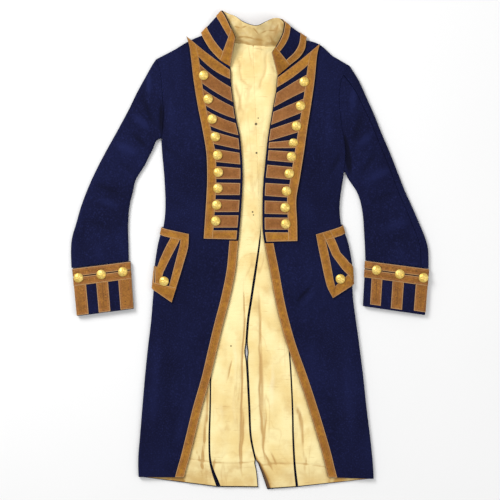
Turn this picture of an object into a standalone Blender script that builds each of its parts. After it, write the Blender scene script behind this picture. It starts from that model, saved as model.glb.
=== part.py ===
"""Napoleon coat laid on its back on a flat surface.

Millimetres in the tables, metres in the objects. +Y points to the collar, +Z up from the surface.
Left and right are those of the plan view, with the collar at the top.
"""
import math

import bmesh
import bpy
import numpy as np

MM = 0.001

# Driving dimensions in millimetres
WALL = 2.8
LAPEL_WALL = 2.0
FLAP_WALL = 2.0
CUFF_WALL = 3.7
COLLAR_WALL = 2.6
LINING_WALL = 1.0
LACE_WALL = 0.9
SEAM_GAP = 0.4
LAYER_GAP = 0.3
LAPEL_GAP = 0.5
SIDE_HEIGHT = 9.6
EDGE_HEIGHT = 7.4
SIDE_ROUND = 7.0
CUFF_HEIGHT = 11.4
BUTTON_RADIUS = 10.3
BUTTON_HEIGHT = 5.0
LACE_WIDTH = 20.5
FRONT_LACE_WIDTH = 19.5
FRONT_LACE_TOP = {"left": 10.28, "right": 10.14}
VENT_TOP = 37.0
BACK_NECK = 447.0
CENTRE_AT_VENT = 23.0
CENTRE_SLOPE = -0.039
PLEAT_EDGE = 4.4
SHOULDER_CURL_ROWS = 0.5
SHOULDER_HEIGHT = 5.2
CHEST_RISE = 2.0
CHEST_Y = 240.0
CHEST_SPREAD = 120.0
LACE_EDGE_GAP = 0.6

# Finishes: colour, roughness, metallic value
NAVY = ((0.012, 0.015, 0.055), 0.9, 0.0)
CREAM = ((0.80, 0.68, 0.42), 0.45, 0.0)
BRONZE = ((0.38, 0.20, 0.07), 0.6, 0.1)
GILT = ((0.86, 0.62, 0.22), 0.3, 1.0)

# Body, hem to shoulder. Columns: front edge x, y; side or armhole x, y;
# side-back seam x, y; centre back x, y
BODY_LEFT = [
    (-145, -500, -245, -499, -73, -521, 18, -522),
    (-139, -478, -246, -475, -84, -488, 15, -488),
    (-131, -449, -245.5, -451, -90, -458, 9, -458),
    (-121, -409, -242, -409, -91, -409, 1, -409),
    (-106, -348, -237, -348, -89, -348, -2, -348),
    (-86, -278, -231, -278, -88, -280, -5.5, -276),
    (-71, -214, -224.5, -214, -88, -216, -10.5, -216),
    (-58, -160, -218, -160, -88, -162, -5.5, -162),
    (-44, -106, -213.5, -106, -87.5, -106, 2.5, -106),
    (-32, -48, -208.5, -48, -87, -45, 11.7, -45),
    (-26.5, 6, -201, 6, -86.5, 9, 19.5, 10),
    (-22, 56, -189.5, 56, -89, 60, 22.5, 45),
    (-18, 110, -186, 100, -98, 115, 20, 115),
    (-16, 172, -188.5, 160, -120, 178, 17, 180),
    (-18.5, 215, -193, 210, -152, 218, 16, 225),
    (-22, 250, -195, 242, -184, 240.5, 14, 260),
    (-23.5, 258, -194.4, 247, -194.4, 247, 14, 270),
    (-31, 292, -191.2, 290, -191.2, 290, 12, 305),
    (-37.5, 335, -191.8, 335, -191.8, 335, 11, 345),
    (-41.5, 368, -194.5, 370, -194.5, 370, 9, 385),
    (-43.9, 403.4, -198, 395, -198, 395, 7, 447),
    (-65.3, 417.1, -200.5, 403, -200.5, 403, -31, 455),
    (-85.9, 438.2, -202.5, 410, -202.5, 410, -72, 462.5),
    (-98.4, 456.7, -204, 415.5, -204, 415.5, -95, 467),
    (-106, 471.8, -205, 420, -205, 420, -108, 471),
]
BODY_RIGHT = [
    (172, -500, 272, -503, 106, -521, 38, -526),
    (166, -478, 271, -480, 102, -491, 26, -491),
    (159, -449, 268.5, -450, 99, -458, 14, -458),
    (147.5, -409, 264, -409, 96.5, -409, 2.2, -409),
    (129, -348, 256.5, -348, 95, -348, -0.8, -348),
    (106, -278, 249, -278, 91.5, -276, -4.3, -276),
    (83, -214, 241, -214, 87.5, -216, -5, -216),
    (67, -160, 233, -155, 86, -162, -4.3, -162),
    (54.5, -106, 226.5, -104, 85, -106, 3.7, -106),
    (44, -48, 223, -40, 84.5, -45, 12.9, -45),
    (33, 8, 214, 12, 84, 9, 21, 10),
    (27.5, 50, 201, 53, 86, 50, 23, 45),
    (27.2, 90, 197, 92, 95, 95, 20, 95),
    (28, 128, 200.5, 130, 120, 132, 18, 135),
    (30, 160, 204.5, 155, 155, 157, 17, 165),
    (32, 178, 206, 168, 190, 168.5, 16, 182),
    (33, 188, 206.4, 173, 206.4, 173, 15, 195),
    (38, 238, 209.8, 216, 209.8, 216, 13, 245),
    (45, 282, 203, 268, 203, 268, 12, 290),
    (52, 322, 197, 315, 197, 315, 11, 335),
    (57.5, 352, 196.5, 345, 196.5, 345, 10, 380),
    (60.3, 382.6, 200.5, 372, 200.5, 372, 7, 447),
    (87.3, 405.6, 206, 384, 206, 384, 44, 446),
    (108.4, 422.7, 210.5, 393, 210.5, 393, 80, 449),
    (120.5, 440.8, 214, 400, 214, 400, 105, 456),
    (124, 460.9, 217, 406, 217, 406, 123, 461),
]
BODY = {"left": BODY_LEFT, "right": BODY_RIGHT}
ARMPIT_ROW = 15
SHOULDER_BULGE = {"left": 2.6, "right": 8.0}
SHOULDER_BULGE_ROWS = 3.0
SHOULDER_BULGE_PART = 0.6
# Rows short of the shoulder where extra rows follow its curl
SHOULDER_ROWS = (0.5, 0.25, 0.07)
# Row where the linings and the front lace start, just above the hem
LINING_START = 0.12
FRONT_LACE_START = 0.03
SIDE_LINING_ROWS = 7

# Sleeves, armhole to cuff. Columns: outer edge x, y; inner edge x, y
SLEEVE_LEFT = [
    (-205.6, 420.4, -196.0, 245.4),
    (-216, 405, -202, 242.5),
    (-231, 378, -207, 238),
    (-249, 345, -213, 223),
    (-267, 308, -221, 207),
    (-290, 265, -231, 187),
    (-315, 220, -243, 168),
    (-337, 178, -252, 152),
    (-355, 139, -257, 130),
    (-371, 97, -264, 101),
    (-382, 59, -267, 75),
    (-391.5, 26, -268, 44),
    (-393.8, -4, -267, 11),
    (-392.6, -39.4, -266.3, -23.8),
]
SLEEVE_RIGHT = [
    (217.6, 406.4, 207.8, 171.6),
    (229, 389, 209.4, 170),
    (242, 367, 210.8, 167.5),
    (257, 333, 212.4, 164),
    (274, 295, 214.6, 158.4),
    (290, 255, 223.5, 145),
    (308, 213, 233, 131),
    (326, 167, 241, 112),
    (341, 129, 246, 90),
    (356, 96, 249, 68),
    (372, 59, 250.5, 42),
    (385.5, 26, 252, 18),
    (392.2, -4, 253, -4),
    (392.8, -40.4, 253.4, -22.2),
]
SLEEVE = {"left": SLEEVE_LEFT, "right": SLEEVE_RIGHT}
ARMHOLE_FADE_ROWS = {"left": 5.0, "right": 4.0}
HIND_SEAM = 0.08
FORE_SEAM = 2.15
SEAM_PLACE_GAP = 0.002
SLEEVE_HEIGHT = 9.6

# Cuffs. Columns: outer edge x, y; inner edge x, y; top row, then hem row
CUFF = {
    "left": [(-390, -40.2, -262.6, -24.3), (-380.2, -145.2, -255, -129)],
    "right": [(392.9, -41.0, 253.4, -22.7), (384.8, -143.2, 248, -123.4)],
}
CUFF_BAND_TOP = 0.012
CUFF_BAND = 0.37
CUFF_STRIP_MIDDLE = 0.68
CUFF_STRIP_END = {"left": 0.988, "right": 0.945}
# Cuff strips and columns of lace, as places round the cuff: 0 to 1 is the top, from the outer edge
CUFF_STRIPS = {
    "left": [(-0.4, 0.17), (0.37, 0.60), (0.80, 1.3)],
    "right": [(-0.4, 0.15), (0.36, 0.56), (0.74, 0.93)],
}
CUFF_LACE_PLACES = {
    "left": [-0.4, -0.26, -0.13, 0, 0.17, 0.27, 0.37, 0.48, 0.60, 0.68, 0.80, 1, 1.13, 1.3],
    "right": [-0.4, -0.26, -0.13, 0, 0.15, 0.27, 0.36, 0.48, 0.56, 0.68, 0.74, 0.93, 1, 1.13,
              1.27, 1.4],
}

# Lapels. Outer outline, top to bottom: x, y
LAPEL_OUTER = {
    "left": [(-140, 470), (-134, 449), (-130.2, 422), (-124, 370), (-115.3, 317),
             (-104.7, 264), (-96.2, 211), (-94.6, 158), (-96.6, 110), (-99.7, 62),
             (-102.3, 24)],
    "right": [(155, 455), (151, 442), (147.4, 422), (142.1, 370), (134.4, 317),
              (126, 264), (118.6, 211), (110, 158), (102.2, 110), (104, 62), (104.6, 20)],
}
# Lace strips across the lapel, top to bottom. Columns: top and bottom y at the outer edge,
# top and bottom y at the inner edge, sag of the top and of the bottom line at the middle
LAPEL_STRIPS = {
    "left": [
        (470, 447, 395, 375, 2, 10), (429, 381.5, 356.5, 324.5, 6.5, 3.5),
        (369.5, 330, 313.5, 287.5, 4, 4.5), (319.5, 281.5, 277.5, 251.5, 4.5, 3),
        (269, 238, 244, 220, 1, 0.5), (225.5, 195.5, 212.7, 187.6, 0, 0),
        (185.7, 156, 179.4, 156, 0, 0), (148.6, 120.8, 146.8, 120.8, 0, 0),
        (112.5, 83.3, 109.5, 83.8, 0, 0), (76.1, 49.3, 76.1, 49.3, 0, 0),
        (43.1, 25, 42.9, 23, 0, 0),
    ],
    "right": [
        (454, 425, 378, 356.5, 2, 5), (396.5, 358, 344, 312.5, -1, -1.5),
        (341, 309.6, 302, 273.7, 0, 0), (294, 264.6, 264.4, 238.3, 0, 0),
        (247, 224.2, 236.6, 223.5, 1.5, 0), (214, 190, 219.8, 197.3, 0, 0),
        (180.2, 152.7, 187.8, 159.3, 0, 0), (143, 114, 147.5, 119.5, 0, 0),
        (105.5, 77.7, 108.9, 79.7, 0, 0), (70.6, 44.7, 71.6, 44.7, 0, 0),
        (38.3, 20, 39.2, 18, 0, 0),
    ],
}
LAPEL_EDGE_MARGIN = 5.0
LAPEL_END_GAP = 0.2

# Pocket flaps, top to bottom. Columns: front edge x, y; y at the side fold
FLAP = {
    "left": [(-133, 36, 51), (-134, 9.5, 27), (-143, -25, -2), (-152, -55, -32),
             (-161, -83, -58), (-171.6, -117, -84)],
    "right": [(143.4, 35.9, 56), (148.5, 8, 30), (156, -27, 3), (162, -55, -25),
              (169, -82, -50), (181.7, -106.7, -74)],
}
FLAP_ROUND = 0.55
FLAP_FLAT_PART = 0.72
FLAP_GAP = 0.7
FLAP_LACE_GAP = 0.9
FLAP_LACE_EDGE = 0.015
FLAP_LACE_BAND = 0.24
FLAP_LACE_DOWNS = [0.01, 0.14, 0.26, 0.38, 0.5, 0.62, 0.74, 0.84, 0.99]
FLAP_STRIP_ROWS = 6
# The slanting strip's two edges across a flap, below the top band and at the strip's end
FLAP_STRIP_TOP = (0.29, 0.56)
FLAP_STRIP_END = (0.53, 0.97)

# Collar band, front corner to front corner. Columns: neck seam x, y, z; top edge x, y, z
COLLAR = [
    (-43.5, 404, 8.4, -32, 466, 27),
    (-65, 417.5, 9.4, -40, 485, 28),
    (-85.5, 438.5, 10, -48.5, 504, 27),
    (-98, 457, 9.8, -55, 517, 24),
    (-105.5, 472, 8, -60, 524, 20.5),
    (-106.5, 477, 5, -61.5, 526.5, 17),
    (-99, 474.5, 2.2, -56, 523.5, 14.5),
    (-85, 469.5, 1.9, -44, 518, 16),
    (-60, 464.5, 1.9, -31, 513, 20),
    (-31, 458.7, 1.9, -12, 500, 28),
    (7, 450.6, 1.9, 13, 493, 32),
    (44, 449.6, 1.9, 33, 501, 28),
    (80, 452.8, 1.9, 47, 507.5, 21),
    (101, 459.5, 1.9, 58, 509.5, 16.5),
    (115, 467, 2.6, 68, 508, 15),
    (123.5, 468, 5, 75, 499.5, 18),
    (123.5, 461, 8.4, 74.5, 490, 21.5),
    (120, 441, 9.8, 71.5, 476, 24.5),
    (108, 423, 9.8, 64, 459, 27),
    (87, 406, 9.4, 56, 445, 28),
    (60.5, 383.5, 8.4, 48, 433, 27),
]
COLLAR_LACE_PART = 0.27
COLLAR_UPS = [0, COLLAR_LACE_PART, 0.5, 1 - COLLAR_LACE_PART, 1]
# Places of the collar's columns, closer at its turns; its front lace takes two columns
COLLAR_PLACES = [0, 0.5, 1, 1.7, 2.4, 3, 3.5, 4, 4.4, 4.8, 5.2, 5.6, 6, 6.5, 7.2, 8, 9, 10, 11, 12,
                 13, 13.6, 14, 14.4, 14.8, 15.2, 15.6, 16, 16.5, 17, 17.6, 18.3, 19, 19.5, 20]
COLLAR_FRONT_COLUMNS = 2
COLLAR_LINING_PLACES = (6.5, 13)

# Buttons: x, y
LAPEL_BUTTONS = {
    "left": [(-101.9, 383.9), (-92.2, 331.8), (-83.2, 287.8), (-76.1, 248.8), (-71.3, 208.6),
             (-69.7, 170.9), (-70.8, 135.5), (-73.3, 99.0), (-75.5, 63.8)],
    "right": [(118.8, 369.8), (110.9, 316.8), (101.9, 272.6), (95.3, 235.2), (91.1, 205.3),
              (86.2, 168.1), (80.1, 129.4), (77.2, 93.3), (78.3, 57.4)],
}
CUFF_BUTTONS = {
    "left": [(-376.9, -60.9), (-326.9, -53.7), (-279.4, -47.7)],
    "right": [(381.0, -60.9), (328.9, -52.8), (278.1, -43.8)],
}
FLAP_BUTTON = {"left": (-189.0, -68.6), "right": (198.5, -63.4)}
# Button profile: part of the radius, part of the height
BUTTON_PROFILE = [(0.84, 0.0), (1.0, 0.22), (0.93, 0.42), (0.62, 0.84)]
BUTTON_SIDES = 10

# A fold keeps this part of its height at its ends, and rises to the full height at this rate
FOLD_END_PART = 0.25
FOLD_RISE = 2.2
# Largest folds. Columns: from x, y; to x, y; height; half width
LINING_FOLDS = [
    (-19, -60, -17, -500, 2.4, 9),
    (27, -90, 22, -330, 2.2, 9),
    (22, -330, 50, -500, 2.0, 10),
    (-52, -330, -48, -500, 1.6, 10),
    (66, -330, 72, -500, 1.6, 10),
]
SIDE_LINING_FOLDS = [
    (-108, -400, -122, -505, 0.4, 9),
    (118, -400, 140, -505, 0.4, 9),
]
SLEEVE_FOLDS = [
    (-222, 390, -220, 340, 1.8, 9),
    (-262, 300, -212, 262, 1.8, 12),
    (-300, 232, -240, 212, 1.4, 12),
    (-330, 120, -275, 80, 1.2, 14),
    (232, 372, 222, 300, 1.6, 10),
    (276, 262, 226, 222, 1.8, 12),
    (316, 182, 252, 150, 1.4, 12),
    (362, 70, 280, 40, 1.2, 14),
]


def smooth(table, place):
    """Values between the rows of a table, on a smooth curve through them; row 0 is place 0."""
    rows = np.asarray(table, float)
    last = len(rows) - 1
    first = min(int(place), last - 1)
    part = place - first
    before, start = rows[max(first - 1, 0)], rows[first]
    end, after = rows[first + 1], rows[min(first + 2, last)]
    return 0.5 * (2 * start + (end - before) * part
                  + (2 * before - 5 * start + 4 * end - after) * part ** 2
                  + (3 * start - before - 3 * end + after) * part ** 3)


def line_through(points, steps=12):
    """Finely spaced points on the smooth curve through a table."""
    count = (len(points) - 1) * steps
    return np.array([smooth(points, k / steps) for k in range(count + 1)])


def x_at(line, y):
    """The x of a curve that runs up or down, at a height y."""
    order = np.argsort(line[:, 1])
    return float(np.interp(y, line[order, 1], line[order, 0]))


EDGE_LINE = {side: line_through([row[0:2] for row in BODY[side]]) for side in BODY}
SIDE_LINE = {side: line_through([row[2:4] for row in BODY[side]]) for side in BODY}
LAPEL_LINE = {side: line_through(LAPEL_OUTER[side]) for side in LAPEL_OUTER}


def fold_height(folds, x, y):
    """Height that a list of soft folds adds at a point; a fold fades towards its ends."""
    total = 0.0
    for from_x, from_y, to_x, to_y, height, half_width in folds:
        run = np.array([to_x - from_x, to_y - from_y])
        reach = np.array([x - from_x, y - from_y])
        along = min(max(float(reach @ run / (run @ run)), 0.0), 1.0)
        off = reach - run * along
        fade = min(1.0, FOLD_END_PART + FOLD_RISE * min(along, 1 - along))
        total += height * fade * math.exp(-float(off @ off) / half_width ** 2)
    return total


def front_height(side, x, y):
    """Height of a front's upper face: low at the front edge, full at the side, fullest at the chest."""
    edge = x_at(EDGE_LINE[side], y)
    outer = x_at(SIDE_LINE[side], y)
    part = min(max((x - edge) / (outer - edge), 0.0), 1.0)
    rise = math.sin(part * math.pi / 2) ** 2
    chest = math.sin(part * math.pi) ** 2 * math.exp(-((y - CHEST_Y) / CHEST_SPREAD) ** 2)
    return EDGE_HEIGHT + (SIDE_HEIGHT - EDGE_HEIGHT) * rise + CHEST_RISE * chest


def front_point(side, place, across):
    """A point of a front: across is 0 to 1 on top, to 2 round the side fold, to 3 underneath."""
    row = smooth(BODY[side], place)
    edge, outer, seam = row[0:2], row[2:4], row[4:6]
    toward = (outer - edge) / np.linalg.norm(outer - edge)
    last = len(BODY[side]) - 1
    side_round = SIDE_ROUND * min(max(ARMPIT_ROW + 1 - place, 0.0), 1.0)
    turn = outer - toward * side_round
    if across <= 1:
        x, y = edge + (turn - edge) * across
        z = front_height(side, x, y)
        bulge = SHOULDER_BULGE[side] * max(0.0, 1 - (last - place) / SHOULDER_BULGE_ROWS)
        y += bulge * math.sin(math.pi * min(1.0, across / SHOULDER_BULGE_PART))
        left_over = min(1.0, (last - place) / SHOULDER_CURL_ROWS)
        curl = math.sqrt(1 - (1 - left_over) ** 2)
        return (x, y, SHOULDER_HEIGHT + (z - SHOULDER_HEIGHT) * curl)
    if across <= 2:
        angle = (across - 1) * math.pi
        x, y = turn + toward * side_round * math.sin(angle)
        return (x, y, SIDE_HEIGHT / 2 * (1 + math.cos(angle)))
    x, y = turn + (seam - turn) * (across - 2)
    return (x, y, 0.0)


def centre_point(side, place):
    """A point of a back's centre edge: a straight seam above the vent."""
    x, y = smooth(BODY[side], place)[6:8]
    if VENT_TOP <= y <= BACK_NECK:
        half_gap = SEAM_GAP / 2 * (-1 if side == "left" else 1)
        x = CENTRE_AT_VENT + CENTRE_SLOPE * (y - VENT_TOP) + half_gap
    return np.array([x, y])


def armhole_bow(side, part):
    """How far the armhole bows from a straight line, from the shoulder (0) to the armpit (1)."""
    rows = np.array(BODY[side])[ARMPIT_ROW + 1:, 2:4][::-1]
    line = line_through(rows)
    steps = np.linalg.norm(np.diff(line, axis=0), axis=1)
    run = np.concatenate([[0], np.cumsum(steps)]) / steps.sum()
    point = np.array([np.interp(part, run, line[:, 0]), np.interp(part, run, line[:, 1])])
    return point - (line[0] + (line[-1] - line[0]) * part)


def ring_point(edge_a, edge_b, height, place, side_round=SIDE_ROUND):
    """A point of a flattened ring: 0 to 1 on top from a to b, 2 round b, 3 below, 4 round a."""
    toward = (edge_b - edge_a) / np.linalg.norm(edge_b - edge_a)
    start, end = edge_a + toward * side_round, edge_b - toward * side_round
    place = place % 4
    if place <= 1:
        return (*(start + (end - start) * place), height)
    if place <= 2:
        angle = (place - 1) * math.pi
        return (*(end + toward * side_round * math.sin(angle)), height / 2 * (1 + math.cos(angle)))
    if place <= 3:
        return (*(end + (start - end) * (place - 2)), 0.0)
    angle = (place - 3) * math.pi
    return (*(start - toward * side_round * math.sin(angle)), height / 2 * (1 - math.cos(angle)))


def sleeve_point(side, row, place):
    """A point of a sleeve; row 0 is the armhole."""
    outer_x, outer_y, inner_x, inner_y = smooth(SLEEVE[side], row)
    x, y, z = ring_point(np.array([outer_x, outer_y]), np.array([inner_x, inner_y]),
                         SLEEVE_HEIGHT, place)
    run = np.array([inner_x - outer_x, inner_y - outer_y])
    part = float((np.array([x - outer_x, y - outer_y]) @ run) / (run @ run))
    weight = max(0.0, 1 - row / ARMHOLE_FADE_ROWS[side])
    bow = armhole_bow(side, min(max(part, 0.0), 1.0)) * weight
    on_top = place % 4
    if on_top < 1:
        z += fold_height(SLEEVE_FOLDS, x, y) * math.sin(math.pi * on_top) ** 0.5 * min(1.0, row)
    return (x + bow[0], y + bow[1], z)


def cuff_point(side, down, place):
    """A point of a cuff; down runs from its top edge (0) to the hem (1)."""
    top, hem = np.array(CUFF[side][0]), np.array(CUFF[side][1])
    row = top + (hem - top) * down
    return ring_point(row[0:2], row[2:4], CUFF_HEIGHT, place)


def collar_point(place, up):
    """A point of the collar's outer face; up runs from the neck seam (0) to the top edge (1)."""
    row = smooth(COLLAR, place)
    seam, top = row[0:3], row[3:6]
    return seam + (top - seam) * up


def outward(grid, facing=1, ring=False, row_axes=None):
    """Unit normals of a grid of points, to the side where its first point faces up (1) or down (-1).

    row_axes keeps each row's normals in the upright plane along that row's axis.
    """
    if ring:
        across = np.roll(grid, -1, axis=1) - np.roll(grid, 1, axis=1)
    else:
        across = np.gradient(grid, axis=1)
    found = np.cross(across, np.gradient(grid, axis=0))
    if row_axes is not None:
        for row, (x, y) in enumerate(row_axes):
            off_plane = np.array([-y, x, 0.0])
            found[row] -= np.outer(found[row] @ off_plane, off_plane)
    found /= np.maximum(np.linalg.norm(found, axis=2, keepdims=True), 1e-9)
    return found if found[0, 0, 2] * facing > 0 else -found


def new_object(name, mesh_data, finish):
    """An object with its own Principled material, from a closed bmesh in millimetres."""
    bmesh.ops.recalc_face_normals(mesh_data, faces=mesh_data.faces)
    bmesh.ops.scale(mesh_data, vec=(MM, MM, MM), verts=mesh_data.verts)
    mesh = bpy.data.meshes.new(name)
    mesh_data.to_mesh(mesh)
    mesh_data.free()
    mesh.shade_smooth()
    mesh.set_sharp_from_angle(angle=math.radians(40))
    thing = bpy.data.objects.new(name, mesh)
    bpy.context.scene.collection.objects.link(thing)
    colour, roughness, metallic = finish
    material = bpy.data.materials.new(name + "_finish")
    material.use_nodes = True
    shader = material.node_tree.nodes["Principled BSDF"]
    shader.inputs["Base Color"].default_value = (*colour, 1)
    shader.inputs["Roughness"].default_value = roughness
    shader.inputs["Metallic"].default_value = metallic
    mesh.materials.append(material)
    return thing


def closed_layer(name, outer, inner, finish, keep=None, ring=False):
    """A closed wall between two grids of points, with its cut edges.

    keep(row, column) says which cells are cloth; a ring's last column joins its first.
    """
    rows, wrap = outer.shape[0] - 1, outer.shape[1]
    columns = wrap - (0 if ring else 1)
    kept = {(r, c) for r in range(rows) for c in range(columns) if keep is None or keep(r, c)}
    data = bmesh.new()
    made = {}

    def corner(layer, row, column):
        key = (layer, row, column % wrap)
        if key not in made:
            made[key] = data.verts.new((outer if layer else inner)[row, column % wrap])
        return made[key]

    for r, c in sorted(kept):
        a, b, d, e = (r, c), (r, c + 1), (r + 1, c + 1), (r + 1, c)
        sides = [(r - 1, c, a, b), (r, c + 1, b, d), (r + 1, c, d, e), (r, c - 1, e, a)]
        for triangle in ((a, b, d), (a, d, e)):
            data.faces.new([corner(1, *k) for k in triangle])
            data.faces.new([corner(0, *k) for k in reversed(triangle)])
        for near_row, near_column, start, end in sides:
            if ring:
                near_column %= columns
            if (near_row, near_column) not in kept:
                data.faces.new([corner(1, *end), corner(1, *start), corner(0, *start), corner(0, *end)])
    return new_object(name, data, finish)


def wall(name, grid, thickness, finish, keep=None, facing=1, ring=False, row_axes=None):
    """A wall of cloth inside a grid of outer points."""
    grid = np.array(grid, float)
    inner = grid - outward(grid, facing, ring, row_axes) * thickness
    return closed_layer(name, grid, inner, finish, keep, ring)


def laid_on(name, grid, gap, thickness, finish, keep=None):
    """A layer that lies on a grid of points, moved out by a gap."""
    grid = np.array(grid, float)
    out = outward(grid)
    return closed_layer(name, grid + out * (gap + thickness), grid + out * gap, finish, keep)


def turned_button(name, x, y, z):
    """A domed button, turned about its own axis, with its back at height z."""
    data = bmesh.new()
    rings = []
    for radius_part, height_part in BUTTON_PROFILE:
        ring = []
        for k in range(BUTTON_SIDES):
            angle = 2 * math.pi * k / BUTTON_SIDES
            radius = BUTTON_RADIUS * radius_part
            ring.append(data.verts.new((x + radius * math.cos(angle), y + radius * math.sin(angle),
                                        z + BUTTON_HEIGHT * height_part)))
        rings.append(ring)
    top = data.verts.new((x, y, z + BUTTON_HEIGHT))
    data.faces.new(rings[0])
    for k in range(BUTTON_SIDES):
        following = (k + 1) % BUTTON_SIDES
        for low, high in zip(rings, rings[1:]):
            data.faces.new([low[k], low[following], high[following], high[k]])
        data.faces.new([rings[-1][k], rings[-1][following], top])
    return new_object(name, data, GILT)


def spread(start, end, count):
    """Evenly spaced places, both ends included."""
    return list(np.linspace(start, end, count + 1))


def make_front(side):
    last = len(BODY[side]) - 1
    top_columns = 7
    places = list(range(last)) + [last - short for short in SHOULDER_ROWS] + [last]
    across = spread(0, 1, top_columns) + spread(1, 2, 6)[1:] + spread(2, 3, 2)[1:]
    grid = [[front_point(side, place, a) for a in across] for place in places]
    wall("front_" + side, grid, WALL, NAVY, keep=lambda r, c: c < top_columns or r < ARMPIT_ROW)


def make_back(side):
    places = range(len(BODY[side]))
    grid = []
    for place in places:
        centre = centre_point(side, place)
        seam = smooth(BODY[side], place)[4:6]
        outer = seam + (centre - seam) / np.linalg.norm(centre - seam) * SEAM_GAP
        grid.append([(*(centre + (outer - centre) * part), WALL) for part in spread(0, 1, 4)])
    wall("back_" + side, grid, WALL, NAVY)


def make_back_lining(side):
    """Lining of a back, short of the pleat edge below the waist, with soft folds in the skirt."""
    places = [LINING_START] + list(range(1, len(BODY[side]) - 1))
    grid = []
    for place in places:
        centre = centre_point(side, place)
        seam = smooth(BODY[side], place)[4:6]
        outer = seam + (centre - seam) / np.linalg.norm(centre - seam) * PLEAT_EDGE
        row = []
        for part in spread(0, 1, 7):
            x, y = centre + (outer - centre) * part
            fold = fold_height(LINING_FOLDS, x, y) * math.sin(math.pi * part) ** 0.5
            row.append((x, y, WALL + LAYER_GAP + LINING_WALL + fold))
        grid.append(row)
    wall("back_lining_" + side, grid, LINING_WALL, CREAM)


def make_side_lining(side):
    """Lining of a front skirt, on its underside panel, from the pleat to the side."""
    places = [LINING_START] + list(range(1, SIDE_LINING_ROWS + 1))
    grid = []
    for place in places:
        row = smooth(BODY[side], place)
        outer, seam = row[2:4], row[4:6]
        toward = (outer - seam) / np.linalg.norm(outer - seam)
        start, end = seam + toward * SEAM_GAP, outer - toward * (SIDE_ROUND + WALL)
        line = []
        for part in spread(0, 1, 5):
            x, y = start + (end - start) * part
            fold = fold_height(SIDE_LINING_FOLDS, x, y) * math.sin(math.pi * part)
            line.append((x, y, WALL + LAYER_GAP + LINING_WALL + fold))
        grid.append(line)
    wall("side_lining_" + side, grid, LINING_WALL, CREAM)


def make_sleeve(side):
    rows = range(len(SLEEVE[side]))
    gap = SEAM_PLACE_GAP
    top_places = [HIND_SEAM + gap] + spread(0.2, 1, 6) + spread(1, 2, 5)[1:] + [FORE_SEAM - gap]
    under_places = [FORE_SEAM + gap] + spread(2.4, 3, 2) + spread(3, 4, 5)[1:] + [4 + HIND_SEAM - gap]
    top = [[sleeve_point(side, row, place) for place in top_places] for row in rows]
    under = [[sleeve_point(side, row, place) for place in under_places] for row in rows]
    axes = [(inner_x - outer_x, inner_y - outer_y)
            for outer_x, outer_y, inner_x, inner_y in SLEEVE[side]]
    axes = [np.array(axis) / math.hypot(*axis) for axis in axes]
    wall("top_sleeve_" + side, top, WALL, NAVY, row_axes=axes)
    wall("under_sleeve_" + side, under, WALL, NAVY, facing=-1, row_axes=axes)


def make_cuff(side):
    places = spread(0, 1, 8)[:-1] + spread(1, 2, 6)[:-1] + spread(2, 3, 4)[:-1] + spread(3, 4, 6)[:-1]
    grid = [[cuff_point(side, down, place) for place in places] for down in (0, 0.5, 1)]
    wall("cuff_" + side, grid, CUFF_WALL, NAVY, ring=True)


def make_cuff_lace(side):
    """A band round the top and three upright strips, from the cuff's points moved out."""
    across = CUFF_LACE_PLACES[side]
    downs = [CUFF_BAND_TOP, CUFF_BAND, CUFF_STRIP_MIDDLE, CUFF_STRIP_END[side]]
    base = [[cuff_point(side, down, place) for place in across] for down in downs]

    def is_lace(row, column):
        middle = (across[column] + across[column + 1]) / 2
        return row == 0 or any(low < middle < high for low, high in CUFF_STRIPS[side])

    laid_on("cuff_lace_" + side, base, LAYER_GAP + LAYER_GAP / 2, LACE_WALL, BRONZE, keep=is_lace)


def lapel_rows(side):
    """The lapel's cross lines, top to bottom: outer point, inner point, sag."""
    lines = []
    for strip in LAPEL_STRIPS[side]:
        for outer_y, inner_y, sag in (strip[0::2], strip[1::2]):
            outer = np.array([x_at(LAPEL_LINE[side], outer_y), outer_y])
            inner = np.array([x_at(EDGE_LINE[side], inner_y), inner_y])
            lines.append((outer, inner, sag))
    return lines


def lapel_grid(side, start, end_margin, lift):
    """Grid over a lapel, from its outer edge to its inner edge, lifted off the front."""
    grid = []
    for outer, inner, sag in lapel_rows(side):
        width = np.linalg.norm(inner - outer)
        band, end = LACE_WIDTH / abs(inner[0] - outer[0]), 1 - LAPEL_EDGE_MARGIN / width
        parts = [start / width] + spread(band, end, 3)
        if end_margin:
            parts.append(1 - LAPEL_END_GAP / width)
        row = []
        for part in parts:
            x, y = outer + (inner - outer) * part
            y -= sag * math.sin(math.pi * part)
            row.append((x, y, front_height(side, x, y) + lift))
        grid.append(row)
    return grid


def make_lapel(side):
    grid = lapel_grid(side, 0.0, True, LAPEL_GAP + LAPEL_WALL)
    wall("lapel_" + side, grid, LAPEL_WALL, NAVY)
    on_lapel = LAPEL_GAP + LAPEL_WALL + LAYER_GAP + LACE_WALL
    lace = lapel_grid(side, LACE_EDGE_GAP, False, on_lapel)
    wall("lapel_lace_" + side, lace, LACE_WALL, BRONZE, keep=lambda r, c: r % 2 == 0 or c == 0)


def make_front_lace(side):
    """Lace along the front edge, from under the lapel to the hem."""
    grid = []
    top = FRONT_LACE_TOP[side]
    for place in [FRONT_LACE_START] + list(range(1, int(top) + 1)) + [top]:
        row = smooth(BODY[side], place)
        edge, outer = row[0:2], row[2:4]
        toward = (outer - edge) / np.linalg.norm(outer - edge)
        line = []
        for off in (LACE_EDGE_GAP, LACE_EDGE_GAP + FRONT_LACE_WIDTH):
            x, y = edge + toward * off
            line.append((x, y, front_height(side, x, y) + LAYER_GAP + LACE_WALL))
        grid.append(line)
    wall("front_lace_" + side, grid, LACE_WALL, BRONZE)


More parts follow.
